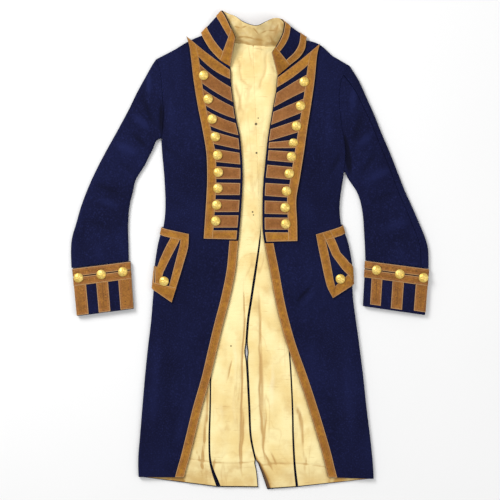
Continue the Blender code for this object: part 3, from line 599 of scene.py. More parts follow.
def ring_points(edge_a, edge_b, height, place, side_round=SIDE_ROUND):
    """A flattened ring: 0 to 1 on top from a to b, to 2 round b, to 3 below, to 4 round a."""
    toward = unit(edge_b - edge_a)
    start, end = edge_a + toward * side_round, edge_b - toward * side_round
    place = np.mod(place, 4)
    turn_b = math.pi * clamp(place - 1)
    turn_a = math.pi * clamp(place - 3)
    run = (clamp(place) - clamp(place - 2))[..., None]
    bulge = (np.sin(turn_b) - np.sin(turn_a))[..., None]
    xy = start + (end - start) * run + toward * side_round * bulge
    z = height * ((1 + np.cos(turn_b)) / 2 + (1 - np.cos(turn_a)) / 2)
    return np.concatenate([xy, z[..., None]], axis=-1)


def sleeve_surface(side, row, place):
    """A sleeve; row 0 is the armhole."""
    row, place = np.broadcast_arrays(row, place)
    ends = spline(SLEEVE[side], row)
    edge_a, edge_b = ends[..., 0:2], ends[..., 2:4]
    points = ring_points(edge_a, edge_b, SLEEVE_HEIGHT, place)
    run = edge_b - edge_a
    part = ((points[..., 0:2] - edge_a) * run).sum(-1) / (run ** 2).sum(-1)
    weight = clamp(1 - row / ARMHOLE_FADE_ROWS[side])
    points[..., 0:2] += armhole_bow(side, clamp(part)) * weight[..., None]
    inward = 1 if side == "left" else -1
    points[..., 0] += inward * ARMHOLE_CLOSE * clamp(part) ** 0.8 * clamp(1 - row)
    x, y = points[..., 0], points[..., 1]
    on_top = np.sin(math.pi * clamp(np.mod(place, 4))) ** 0.5
    moved = creases(SLEEVE_CREASES[side], x, y) + ripple(x, y, 0.5, 80, RIPPLE_PHASE[side] + 1)
    points[..., 2] += (moved + 1.0) * on_top * clamp(row)
    return points


def cuff_surface(side, down, place):
    """A cuff; down runs from its top edge (0) to the hem (1)."""
    down, place = np.broadcast_arrays(down, place)
    ends = np.array(CUFF[side])
    row = ends[0] + (ends[1] - ends[0]) * down[..., None]
    return ring_points(row[..., 0:2], row[..., 2:4], CUFF_HEIGHT, place)


def collar_surface(place, up):
    """The collar's outer face; up runs from the neck seam (0) to the top edge (1)."""
    place, up = np.broadcast_arrays(place, up)
    row = spline(COLLAR, place)
    return row[..., 0:3] + (row[..., 3:6] - row[..., 0:3]) * up[..., None]


def lapel_line(side, place):
    """Ends and sag of a lapel's cross lines; there are two lines to a strip."""
    table = []
    for strip in LAPEL_STRIPS[side]:
        table += [strip[0::2], strip[1::2]]
    table = np.array(table, float)
    rows = np.arange(len(table))
    outer_y, inner_y, sag = (np.interp(place, rows, table[:, k]) for k in range(3))
    outer = np.stack([x_at(LAPEL_LINE[side], outer_y), outer_y], axis=-1)
    inner = np.stack([x_at(EDGE_LINE[side], inner_y), inner_y], axis=-1)
    return outer, inner, sag


def lapel_surface(side, place, part):
    """The front under a lapel; part runs from the lapel's outer edge (0) to the front edge (1)."""
    place, part = np.broadcast_arrays(place, part)
    outer, inner, sag = lapel_line(side, place)
    xy = outer + (inner - outer) * part[..., None]
    y = xy[..., 1] - sag * np.sin(math.pi * clamp(part))
    return np.stack([xy[..., 0], y, front_height(side, xy[..., 0], y)], axis=-1)


def flap_surface(side, down, across):
    """The front under a flap; across runs from the flap's front edge (0) round the side (1)."""
    down, across = np.broadcast_arrays(down, across)
    row = spline(FLAP[side], down * (len(FLAP[side]) - 1))
    places = np.linspace(0, ARMPIT_ROW, 200)
    side_ys = spline(BODY[side], places)[:, 3]
    y = row[..., 1] + (row[..., 2] - row[..., 1]) * across
    place = np.interp(y, side_ys, places)
    body = spline(BODY[side], place)
    edge_x, outer_x = body[..., 0], body[..., 2]
    turn_x = outer_x - np.copysign(SIDE_ROUND, outer_x)
    x = row[..., 0] + (turn_x - row[..., 0]) * across / FLAP_FLAT_PART
    flat = (x - edge_x) / (turn_x - edge_x)
    rounded = 1 + FLAP_ROUND * (across - FLAP_FLAT_PART) / (1 - FLAP_FLAT_PART)
    return front_surface(side, place, np.where(across <= FLAP_FLAT_PART, flat, rounded))


def from_fronts(x, y):
    """How far a point between the fronts lies from the nearer front edge."""
    return np.minimum(x - x_at(EDGE_LINE["left"], y), x_at(EDGE_LINE["right"], y) - x)


def lining_height(x, y):
    """Upper face of the linings: level under the fronts, fuller and creased between them."""
    inside = clamp(from_fronts(x, y) / LINING_LEVEL_WIDTH)
    clear = inside * inside * (3 - 2 * inside)
    soft = creases(LINING_CREASES, x, y) + folds(LINING_FOLDS, x, y) + ripple(x, y, 0.45, 45, 2.0)
    return WALL + LAYER_GAP + LINING_WALL + np.maximum(LINING_RISE + soft, LINING_LEAST) * clear


# Shells: closed walls of cloth, made of quads

SHARP_ANGLE = 50
ROUND_STEPS = np.array([0.0, 0.13, 0.5])
ROUND_DROPS = 1 - np.sqrt(1 - (1 - ROUND_STEPS) ** 2)


def edged(start, end, count, at_start=0.0, at_end=0.0):
    """Places from start to end and how far each is rounded off, with close lines at rounded ends."""
    at_start, at_end = np.broadcast_arrays(np.atleast_1d(at_start), np.atleast_1d(at_end))
    at_start, at_end = at_start[:, None], at_end[:, None]
    first, last = start + at_start, end - at_end
    places = first + (last - first) * np.linspace(0, 1, count + 1)
    drops = np.zeros(count + 1)
    if at_start.max() > 0:
        places = np.concatenate([start + at_start * ROUND_STEPS, places], axis=1)
        drops = np.concatenate([ROUND_DROPS, drops])
    if at_end.max() > 0:
        places = np.concatenate([places, end - at_end * ROUND_STEPS[::-1]], axis=1)
        drops = np.concatenate([drops, ROUND_DROPS[::-1]])
    return places, drops


def normals(surface, place, across, facing=1, row_plane=None):
    """Unit normals of a surface, by small steps on it; they face up where facing is 1."""
    step = 0.004
    along = surface(place + step, across) - surface(place - step, across)
    sideways = surface(place, across + step) - surface(place, across - step)
    found = np.cross(sideways, along)
    if row_plane is not None:
        found -= (found * row_plane).sum(-1, keepdims=True) * row_plane
    found = unit(found)
    return found if np.median(found[..., 2]) * facing > 0 else -found


def shell(outer, inner, keep=None, ring=False, marks=None):
    """Points, quads, corner UVs and marks of a closed wall between two grids."""
    rows, columns = outer.shape[:2]
    cells = columns if ring else columns - 1
    if keep is None:
        keep = np.ones((rows - 1, cells), bool)
    index = np.arange(rows * columns).reshape(rows, columns)
    wrapped = np.concatenate([index, index[:, :1]], axis=1) if ring else index
    closed = np.concatenate([outer, outer[:, :1]], axis=1) if ring else outer
    steps = np.linalg.norm(np.diff(closed, axis=1), axis=-1)
    u = np.concatenate([np.zeros((rows, 1)), np.cumsum(steps, axis=1)], axis=1)
    steps = np.linalg.norm(np.diff(closed, axis=0), axis=-1)
    v = np.concatenate([np.zeros((1, closed.shape[1])), np.cumsum(steps, axis=0)], axis=0)
    uv = np.stack([u, v], axis=-1)

    around = np.zeros((rows + 1, cells + 2), bool)
    around[1:-1, 1:-1] = keep
    if ring:
        around[1:-1, 0], around[1:-1, -1] = keep[:, -1], keep[:, 0]
    corners = [(0, 0), (0, 1), (1, 1), (1, 0)]
    beside = [(0, 1), (1, 2), (2, 1), (1, 0)]
    row, column = np.nonzero(keep)

    def picked(values, cell_rows, cell_columns, corner):
        return values[cell_rows + corner[0], cell_columns + corner[1]]

    top = np.stack([picked(wrapped, row, column, corner) for corner in corners], axis=1)
    top_uv = np.stack([picked(uv, row, column, corner) for corner in corners], axis=1)
    quads, uvs = [top, top[:, ::-1] + rows * columns], [top_uv, top_uv[:, ::-1]]
    for k, (down, right) in enumerate(beside):
        bare = keep & ~around[down:down + rows - 1, right:right + cells]
        row, column = np.nonzero(bare)
        start, end = corners[k], corners[(k + 1) % 4]
        a, b = picked(wrapped, row, column, start), picked(wrapped, row, column, end)
        quads.append(np.stack([b, a, a + rows * columns, b + rows * columns], axis=1))
        a, b = picked(uv, row, column, start), picked(uv, row, column, end)
        uvs.append(np.stack([b, a, a, b], axis=1))
    quads, uvs = np.concatenate(quads), np.concatenate(uvs)
    points = np.concatenate([outer.reshape(-1, 3), inner.reshape(-1, 3)])
    used, quads = np.unique(quads, return_inverse=True)
    quads = quads.reshape(-1, 4)
    found = {name: np.concatenate([values.ravel()] * 2)[used] for name, values in (marks or {}).items()}
    points = points[used]
    a, b, c, d = (points[quads[:, k]] for k in range(4))
    if (a * np.cross(b, c)).sum() + (a * np.cross(c, d)).sum() < 0:
        quads, uvs = quads[:, ::-1], uvs[:, ::-1]
    return points, quads, uvs, found


def linked(name, data):
    """A new object in the scene."""
    thing = bpy.data.objects.new(name, data)
    bpy.context.scene.collection.objects.link(thing)
    return thing


def dressed(thing, replaced):
    """The object, made to ride on the coat and stand for CAD nodes."""
    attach(thing, "root")
    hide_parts(*replaced)
    return thing


def piece(name, shells, material, replaced):
    """One smooth object from one or more shells."""
    points, quads, uvs, marks, count = [], [], [], {}, 0
    for shell_points, shell_quads, shell_uvs, shell_marks in shells:
        quads.append(shell_quads + count)
        points.append(shell_points)
        uvs.append(shell_uvs)
        for mark, values in shell_marks.items():
            marks.setdefault(mark, []).append(values)
        count += len(shell_points)
    mesh = bpy.data.meshes.new(name)
    mesh.from_pydata(np.concatenate(points) * MM, [], np.concatenate(quads).tolist())
    layer = mesh.uv_layers.new(name="cloth")
    layer.data.foreach_set("uv", (np.concatenate(uvs) * MM).ravel())
    for mark, values in marks.items():
        attribute = mesh.attributes.new(mark, "FLOAT", "POINT")
        attribute.data.foreach_set("value", np.concatenate(values))
    mesh.shade_smooth()
    mesh.set_sharp_from_angle(angle=math.radians(SHARP_ANGLE))
    mesh.materials.append(material)
    return dressed(linked(name, mesh), replaced)


# Materials

# Height of the lining's spots, and the lace's selvedge and weave
SPOT_Z = 5.3
SELVEDGE = (2.4, 1.2)
CORD_SPACING = 2.3
RIB_SPACING = 1.4
THREAD_SPACING = 1.2


class Nodes:
    """A material's node tree, with short calls to add nodes and link them."""

    def __init__(self, name, roughness, metallic=0.0, **sockets):
        self.material = bpy.data.materials.new(name)
        self.material.use_nodes = True
        self.tree = self.material.node_tree
        self.shader = self.tree.nodes["Principled BSDF"]
        self.shader.inputs["Roughness"].default_value = roughness
        self.shader.inputs["Metallic"].default_value = metallic
        for socket, value in sockets.items():
            self.shader.inputs[socket.replace("_", " ")].default_value = value
        self.place = self.add("ShaderNodeTexCoord").outputs["Object"]

    def add(self, kind, inputs=(), **settings):
        node = self.tree.nodes.new(kind)
        for setting, value in settings.items():
            setattr(node, setting, value)
        for socket, value in dict(inputs).items():
            self.put(node.inputs[socket], value)
        return node

    def put(self, socket, value):
        if isinstance(value, bpy.types.NodeSocket):
            self.tree.links.new(value, socket)
        else:
            socket.default_value = value

    def mark(self, name):
        return self.add("ShaderNodeAttribute", attribute_name=name).outputs["Fac"]

    def math(self, operation, a, b=0.0):
        node = self.add("ShaderNodeMath", operation=operation)
        self.put(node.inputs[0], a)
        self.put(node.inputs[1], b)
        return node.outputs[0]

    def ramp(self, value, low, high, to_low=0.0, to_high=1.0):
        """Value from low to high turned into to_low to to_high, smoothly and clamped."""
        node = self.add("ShaderNodeMapRange", interpolation_type="SMOOTHSTEP")
        for socket, given in zip(node.inputs, (value, low, high, to_low, to_high)):
            self.put(socket, given)
        return node.outputs[0]

    def mix(self, factor, a, b, blend="MIX"):
        node = self.add("ShaderNodeMix", data_type="RGBA", blend_type=blend)
        self.put(node.inputs[0], factor)
        self.put(node.inputs[6], a)
        self.put(node.inputs[7], b)
        return node.outputs[2]

    def tint(self, colour, rows):
        """Mixes a colour towards others, one after the other.

        Columns: value, where it starts and ends to tell, the most it takes, colour.
        """
        for value, low, high, most, shade in rows:
            colour = self.mix(self.ramp(value, low, high, 0.0, most), colour, rgb(*shade))
        return colour

    def noise(self, scale, detail=3.0, stretch=(1, 1, 1)):
        moved = self.add("ShaderNodeMapping", {"Vector": self.place, "Scale": stretch})
        found = {"Vector": moved.outputs[0], "Scale": scale, "Detail": detail}
        return self.add("ShaderNodeTexNoise", found).outputs["Fac"]

    def finish(self, colour, height=None, distance=0.0003, strength=0.6):
        self.put(self.shader.inputs["Base Color"], colour)
        if height is not None:
            settings = {"Height": height, "Distance": distance, "Strength": strength}
            self.put(self.shader.inputs["Normal"], self.add("ShaderNodeBump", settings).outputs[0])
        return self.material


def rgb(red, green, blue):
    """A linear colour from screen values of 0 to 255."""
    values = [channel / 255 for channel in (red, green, blue)]
    return tuple(v / 12.92 if v < 0.04045 else ((v + 0.055) / 1.055) ** 2.4 for v in values) + (1.0,)


def wool():
    """Felted navy broadcloth: a short nap, painted highlight on ridges, painted shade in troughs and on
    edges.
    """
    n = Nodes("navy_broadcloth", 0.85, Sheen_Weight=0.14, Sheen_Roughness=0.45,
              Sheen_Tint=rgb(90, 105, 190), Specular_IOR_Level=0.1)
    colour = n.mix(n.ramp(n.noise(9, 3), 0.35, 0.68), rgb(9, 11, 38), rgb(15, 19, 52))
    grain, nap, tone = n.noise(330, 3), n.noise(1500, 4), n.mark("tone")
    colour = n.tint(colour, [
        (grain, 0.5, 0.75, 0.45, (40, 46, 98)),
        (grain, 0.5, 0.25, 0.5, (5, 6, 26)),
        (nap, 0.3, 0.7, 0.35, (25, 29, 70)),
        (n.noise(60, 5, (1, 0.25, 1)), 0.4, 0.75, 0.3, (9, 10, 38)),
        # Painted highlight where the tone mark is high, painted shade where it is low
        (tone, 0.1, 1.6, 0.45, (30, 36, 82)),
        (tone, -0.1, -2.4, 0.75, (4, 4, 16)),
        (n.noise(210, 1), 0.80, 0.86, 0.25, (80, 84, 110)),
    ])
    height = n.math("ADD", nap, n.math("MULTIPLY", n.noise(420, 3), 0.8))
    return n.finish(colour, height, 0.00035, 0.55)


def satin(name, stain, spots=()):
    """Cream satin: painted warm shade in the troughs and fine cross crinkles, painted highlight on ridges,
    mottled stains, soil mixed with painted shade, and a few dark spots.
    """
    n = Nodes(name, 0.42, Sheen_Weight=0.1, Sheen_Roughness=0.4, Specular_IOR_Level=0.35)
    colour = n.mix(n.ramp(n.noise(16, 5), 0.34, 0.66), rgb(250, 233, 172), rgb(238, 211, 142))
    colour = n.tint(colour, [
        (n.noise(30, 6), 0.5, 0.74, stain, (200, 154, 84)),
        (n.noise(70, 3, (0.55, 6, 1)), 0.64, 0.74, 0.4, (186, 146, 88)),
    ])
    # Thin crinkle lines, painted darker as the shade in them
    lines = []
    for scale, stretch in ((22, (1, 0.12, 1)), (15, (0.8, 0.6, 1))):
        off_line = n.math("ABSOLUTE", n.math("SUBTRACT", n.noise(scale, 3, stretch), 0.5))
        lines.append(n.ramp(off_line, 0.022, 0.0))
    here = n.ramp(n.noise(11, 3), 0.42, 0.62, 0.03, 0.12 + 0.5 * stain)
    creased = n.math("MULTIPLY", n.math("MAXIMUM", lines[0], n.math("MULTIPLY", lines[1], 0.6)), here)
    colour = n.mix(creased, colour, rgb(184, 140, 80))
    tone, soil_and_shade = n.mark("tone"), n.mark("soil_and_shade")
    # Painted shade in the troughs and painted highlight on the ridges
    colour = n.tint(colour, [
        (tone, -0.15, -2.0, 0.85, (190, 148, 84)),
        (tone, 0.5, 1.8, 0.5, (255, 247, 206)),
    ])
    # Soil mixed with painted shade: the hem's soil, a painted shadow beside the fronts and the painted
    # shade at the vent's foot
    grime_and_shade = n.math("MULTIPLY", soil_and_shade, n.ramp(n.noise(45, 4), 0.25, 0.65, 0.35, 1.0))
    colour = n.mix(grime_and_shade, colour, rgb(180, 136, 64))
    # Very dark painted shade where the mark is highest, at the vent's foot
    colour = n.tint(colour, [(soil_and_shade, 1.1, 1.9, 0.95, (78, 52, 32))])
    for x, y, radius in spots:
        centre = (x * MM, y * MM, SPOT_Z * MM)
        away = n.add("ShaderNodeVectorMath", {0: n.place, 1: centre}, operation="DISTANCE")
        near = n.ramp(away.outputs["Value"], radius * MM, radius * 0.4 * MM)
        colour = n.mix(near, colour, rgb(84, 72, 44))
    crinkle, weave = n.noise(24, 5, (1, 9, 1)), n.noise(900, 2, (1, 0.2, 1))
    height = n.math("ADD", crinkle, n.math("MULTIPLY", weave, 0.12))
    height = n.math("SUBTRACT", height, n.math("MULTIPLY", creased, 0.5))
    return n.finish(colour, height, 0.0011, 0.5)


def lace(name, body, thread, speckle=0.25):
    """Flat metal lace: raised selvedges painted paler as a highlight, lengthwise cords, fine cross ribs
    and worn specks.
    """
    n = Nodes(name, 0.6, 0.15, Sheen_Weight=0.04, Sheen_Roughness=0.5, Specular_IOR_Level=0.3)
    uv = n.add("ShaderNodeSeparateXYZ", {0: n.add("ShaderNodeUVMap", uv_map="cloth").outputs[0]})
    across, along = uv.outputs[0], uv.outputs[1]
    border = n.mark("border")
    specks = n.noise(330, 2)
    colour = n.mix(n.ramp(n.noise(55, 5), 0.3, 0.7), body, thread)
    colour = n.tint(colour, [
        (n.noise(160, 4), 0.35, 0.75, 0.55, (128, 78, 20)),
        (specks, 0.58, 0.72, speckle, (214, 146, 64)),
        (specks, 0.42, 0.28, 2 * speckle, (92, 56, 24)),
        # Painted highlight on the raised selvedges
        (border, *SELVEDGE, 0.7, (198, 158, 112)),
    ])
    line = n.math("MULTIPLY", n.ramp(border, 3.6, 4.3), n.ramp(border, 5.6, 4.9))
    colour = n.mix(n.math("MULTIPLY", line, 0.35), colour, rgb(188, 118, 84))
    cords, ribs, threads = (n.math("SINE", n.math("MULTIPLY", run, 2 * math.pi / spacing))
                            for run, spacing in ((border, CORD_SPACING), (along, RIB_SPACING * MM),
                                                 (across, THREAD_SPACING * MM)))
    weave = n.math("MULTIPLY", threads, ribs)
    colour = n.tint(colour, [
        (n.mark("middle"), 0.9, 0.3, 0.7, (92, 46, 20)),
        (weave, -1.0, 1.0, 0.35, (110, 66, 26)),
    ])
    height = n.math("ADD", n.math("MULTIPLY", cords, 0.35), n.math("MULTIPLY", weave, 0.5))
    return n.finish(colour, height, 0.0003, 0.7)


def gilt():
    """Stamped gilt brass, bright on the high parts and olive in the hollows."""
    n = Nodes("stamped_gilt", 0.42, 0.6)
    colour = n.mix(n.ramp(n.noise(160, 4), 0.35, 0.7), rgb(252, 222, 128), rgb(236, 196, 92))
    colour = n.tint(colour, [(n.mark("tone"), 0.0, -1.0, 0.9, (120, 92, 30))])
    return n.finish(colour, n.noise(700, 4), 0.00012, 0.4)


# Dark spots on the lining. Columns: x, y, radius
SPOTS = [(13.2, 277, 4.0), (14.3, 213.4, 3.2), (5.7, 83.6, 2.8), (7.5, 77, 2.2), (-41.8, -211, 2.6),
         (18, 290, 2.2)]
WOOL = wool()
LINING = satin("cream_satin", 0.35, SPOTS)
COLLAR_LINING = satin("stained_satin", 0.8)
BRAID = lace("bronze_braid", rgb(186, 128, 32), rgb(158, 104, 25))
STRIP_BRAID = lace("rosy_braid", rgb(160, 104, 50), rgb(136, 84, 36))
CUFF_BRAID = lace("worn_braid", rgb(166, 110, 38), rgb(138, 88, 28), 0.55)
GILT = gilt()


# Pieces

def walled(surface, place, across, drops, thickness, radius, facing=1, row_plane=None):
    """Outer and inner grids of a wall inside a surface, with its edges rounded."""
    out = normals(surface, place, across, facing, row_plane)
    points = surface(place, across)
    drops = drops[..., None]
    outer = points - out * radius * drops
    inner = points - out * (thickness - radius * drops)
    return outer, inner


def layered(surface, place, across, low, high):
    """Outer and inner grids of a layer that lies between two heights over a surface."""
    out = normals(surface, place, across)
    points = surface(place, across)
    return points + out * high[..., None], points + out * low[..., None]


# Columns round a side fold and along the four parts of a cuff's ring; rows where the linings start
# and a side lining ends; the least width of a seam's underside in the rounding of its edge
FOLD_COLUMNS = 9
CUFF_COLUMNS = (40, 12, 30, 12)
LINING_HEM_ROW = 0.12
SKIRT_LINING_ROW = 7
LEAST_UNDER_WIDTH = 12
# Half the sleeve's seam gap as part of its width, and the height over which a sleeve's face is on top
SLEEVE_SEAM_PART = SEAM_GAP / 200
ON_TOP_HEIGHT = 5
# Painted shade on rounded edges and over the backs' whole upper face, and the troughs that get a thin
# painted line of shade too
EDGE_SHADE = 0.8
BACK_SHADE = -2.2
DEEP_CREASE = -0.9
# Lace: how far a strip reaches under the band, the band's inset and its height over the strips,
# where a stitched line ends, and the mark of a strip without one
LACE_TUCK = 5.0
LACE_INSET = 0.6 / 100
LACE_LAP = 0.3
END_STRIP_TUCK = 3.0
FRONT_LACE_INSET = 0.4
CUFF_LACE_FROM = -0.4
CUFF_LACE_STOP = {"left": 1.3, "right": 1.4}
CUFF_LACE_RISE = 0.15
CUFF_LACE_INSET = 0.012
CUFF_LACE_TUCK = 0.03
LINE_END = 9
NO_LINE = 99.0


def crossed(row_drops, column_drops):
    """How far each point of a grid is rounded off, from 0 to 1."""
    return np.maximum(row_drops[:, None], column_drops)


def fold_places(rows):
    """Places round a side fold, the same in every row."""
    return np.broadcast_to(np.linspace(1, 2, FOLD_COLUMNS + 2)[1:-1], (rows, FOLD_COLUMNS))


def make_front(side):
    last = len(BODY[side]) - 1
    lower, lower_drops = edged(0, ARMPIT_ROW, 150, 0.05)
    upper, upper_drops = edged(ARMPIT_ROW, last, 70, 0, 0.06)
    place = np.concatenate([lower[0], upper[0, 1:]])
    row_drops = np.concatenate([lower_drops, upper_drops[1:]])
    rows = spline(BODY[side], place)
    width = np.linalg.norm(rows[:, 2:4] - rows[:, 0:2], axis=1)
    under_width = np.maximum(np.linalg.norm(rows[:, 4:6] - rows[:, 2:4], axis=1), LEAST_UNDER_WIDTH)
    top, top_drops = edged(0, 1, 46, EDGE_ROUND / width, EDGE_ROUND / width)
    under, under_drops = edged(2, 3, 24, 0, EDGE_ROUND / under_width)
    across = np.concatenate([top, fold_places(len(place)), under], axis=1)
    column_drops = np.concatenate([top_drops, np.zeros(FOLD_COLUMNS), under_drops])
    top_columns = top.shape[1]

    # The side edge is rounded only above the armpit, where it is a seam
    drops = np.broadcast_to(column_drops, across.shape).copy()
    drops[:, top_columns // 2:top_columns] *= clamp((place - ARMPIT_ROW + 0.3) / 0.5)[:, None]
    drops = np.maximum(row_drops[:, None], drops)
    outer, inner = walled(partial(front_surface, side), place[:, None], across, drops, WALL, EDGE_ROUND)
    keep = np.ones((len(place) - 1, across.shape[1] - 1), bool)
    keep[place[:-1] >= ARMPIT_ROW - 1e-6, top_columns - 1:] = False

    x, y = outer[..., 0], outer[..., 1]
    on_top = across <= 1
    # Painted shade in troughs and painted highlight on ridges of the top face, painted shade on rounded
    # edges, a painted shadow beside the lapel's outer edge and a dark painted rim of shade along the front
    # edge
    tone = creases(FRONT_CREASES[side], x, y) * on_top - EDGE_SHADE * drops
    tone -= 1.8 * bell(x - x_at(LAPEL_LINE[side], y), 3.5) * on_top * (y > 20)
    tone -= 2.4 * bell(x - x_at(EDGE_LINE[side], y), 1.6)
    shells = [shell(outer, inner, keep, marks={"tone": tone})]
    return piece("cloth_front_" + side, shells, WOOL, ["front_" + side])


def back_edges(side, place):
    centre = centre_line(side, place)
    seam = spline(BODY[side], place)[..., 4:6]
    return centre, seam + unit(centre - seam) * SEAM_GAP


def make_back(side):
    place, row_drops = edged(0, len(BODY[side]) - 1, 150, 0.04, 0.05)
    place = place[0]
    centre, outer = back_edges(side, place)
    width = np.linalg.norm(outer - centre, axis=1)
    part, column_drops = edged(0, 1, 24, BACK_EDGE_ROUND / width, BACK_EDGE_ROUND / width)

    def surface(p, q):
        start, end = back_edges(side, p[..., 0])
        xy = start[:, None] + (end - start)[:, None] * q[..., None]
        return np.concatenate([xy, np.full(xy.shape[:2] + (1,), WALL)], axis=-1)

    drops = crossed(row_drops, column_drops)
    outer, inner = walled(surface, place[:, None], part, drops, WALL, BACK_EDGE_ROUND)
    # The backs' upper face is painted darker all over, as the shade in the gaps where it shows
    shells = [shell(outer, inner, marks={"tone": np.full(drops.shape, BACK_SHADE)})]
    return piece("cloth_back_" + side, shells, WOOL, ["back_" + side])


# How far the linings stay inside the side-back seam and the vent, as y and width;
# the seam above their hems, where their soil starts, where the left skirt turns darker, and where the
# vent's foot is painted with the shade of a curl
PLEAT_SHOW = {
    "left": ([-526, -505, -480, -450, -300, 60, 240], [9.0, 8.0, 5.0, 3.4, 2.4, 1.2, 1.2]),
    "right": ([-526, -480, -440, -300, -100, 60, 240], [5.0, 4.0, 3.4, 2.6, 1.2, 1.2, 1.2]),
}
VENT_SHOW = ([-526, -440, -300, -60, 20, 50], [1.4, 2.0, 2.3, 2.5, 1.7, 0.0])
HEM_SEAM_Y = {"left": -463, "right": -474}
HEM_SOIL_Y = -455
SKIRT_DARKER_X = -92
SKIRT_DARKER_Y = -250
CURL_Y = -448
CURL_LAST_X = 60


def hem_seam(side, x, y):
    """1 on the seam above a lining's hem, and nothing away from it."""
    return bell(y - (HEM_SEAM_Y[side] + 6 * np.sin((x - 20) / 40)), HEM_SEAM_WIDTH)


def lining_marks(side, x, y, from_start):
    """Painted shade in a lining's troughs, folds and hem seam, painted highlight on its ridges, its soiled
    hem, a painted shadow beside the fronts, painted shade at the vent's foot, and a darker lower part of
    the left skirt.
    """
    # Narrow copies of the deepest creases and folds paint thin lines of shade in them
    deep = [row[:5] + (0.34 * row[5],) for row in LINING_CREASES
            if row[4] <= DEEP_CREASE and abs(row[1] - row[3]) > abs(row[0] - row[2])]
    sharp = [(height, 0.42 * half_width, points) for height, half_width, points in LINING_FOLDS
             if height <= SHARP_FOLD]
    wander = x + 1.3 * np.sin(y / 19) + 0.7 * np.sin(y / 7 + 1)
    uneven = 0.85 + 0.2 * np.sin(y / 23 + x / 31)
    broken = 1.0 + 0.5 * np.sin(y / 11 + x / 17) + 0.3 * np.sin(y / 4.3)
    tone = (creases(LINING_CREASES, wander, y) + creases(deep, wander, y)) * uneven
    tone = tone + 0.8 * folds(LINING_FOLDS, x, y) + 1.2 * folds(sharp, wander, y) * broken
    tone = tone - 1.3 * hem_seam(side, x, y)
    soil_and_shade = 0.35 * clamp((HEM_SOIL_Y - y) / 40)
    # Painted shadow beside the fronts' edges
    soil_and_shade = soil_and_shade + 0.8 * np.exp(-np.clip(from_fronts(x, y), 0, None) / 2.0)
    if side == "left":
        # Darker towards the hem on the outer part of the left skirt
        soil_and_shade = soil_and_shade + 0.2 * (x < SKIRT_DARKER_X) * clamp((SKIRT_DARKER_Y - y) / 60)
    else:
        # The vent's foot is painted dark on this side, as the shade of a curled corner; the lining itself
        # is not curled
        curl_shade_width = 3.4 + 5.0 * clamp((CURL_Y - 10 - y) / 50)
        curl_shade = bell(from_start, curl_shade_width) * clamp((CURL_Y - y) / 20) * (x < CURL_LAST_X)
        soil_and_shade = soil_and_shade + 2.0 * curl_shade
        tone = tone - 3.0 * curl_shade
    return {"tone": tone, "soil_and_shade": np.clip(soil_and_shade, 0, 2)}


def lining_piece(name, side, start, end, row_drops, count, replaced):
    """A lining between two lines of points."""
    width = np.linalg.norm(end - start, axis=1)
    part, column_drops = edged(0, 1, count, LINING_EDGE_ROUND / width, LINING_EDGE_ROUND / width)
    xy = start[:, None] + (end - start)[:, None] * part[..., None]
    x, y = xy[..., 0], xy[..., 1]
    z = lining_height(x, y) - HEM_SEAM_DEPTH * hem_seam(side, x, y)
    points = np.stack([x, y, z], axis=-1)
    drops = crossed(row_drops, column_drops)[..., None]
    down = np.array([0, 0, LINING_EDGE_ROUND]) * drops
    outer, inner = points - down, points - np.array([0, 0, LINING_WALL]) + down
    marks = lining_marks(side, x, y, np.abs(x - x[:, :1]))
    return piece(name, [shell(outer, inner, marks=marks)], LINING, [replaced])


def make_back_lining(side):
    place, row_drops = edged(LINING_HEM_ROW, len(BODY[side]) - 2, 230, 0.02, 0.02)
    centre, outer = back_edges(side, place[0])
    inward = unit(outer - centre)
    vent = np.interp(centre[:, 1], *VENT_SHOW)[:, None]
    pleat = np.interp(outer[:, 1], *PLEAT_SHOW[side])[:, None]
    start = centre + inward * vent
    closed = (centre[:, 1] > VENT_TOP + 15) & (centre[:, 1] < BACK_NECK - 5)
    start[closed] -= inward[closed] * (SEAM_GAP / 2 - 0.02)
    return lining_piece("satin_back_" + side, side, start, outer - inward * pleat, row_drops, 70,
                        "back_lining_" + side)


def make_side_lining(side):
    place, row_drops = edged(LINING_HEM_ROW, SKIRT_LINING_ROW, 130, 0.02, 0.02)
    row = spline(BODY[side], place[0])
    outer, seam = row[:, 2:4], row[:, 4:6]
    toward = unit(outer - seam)
    return lining_piece("satin_skirt_" + side, side, seam + toward * SEAM_GAP,
                        outer - toward * (SIDE_ROUND + WALL), row_drops, 34, "side_lining_" + side)


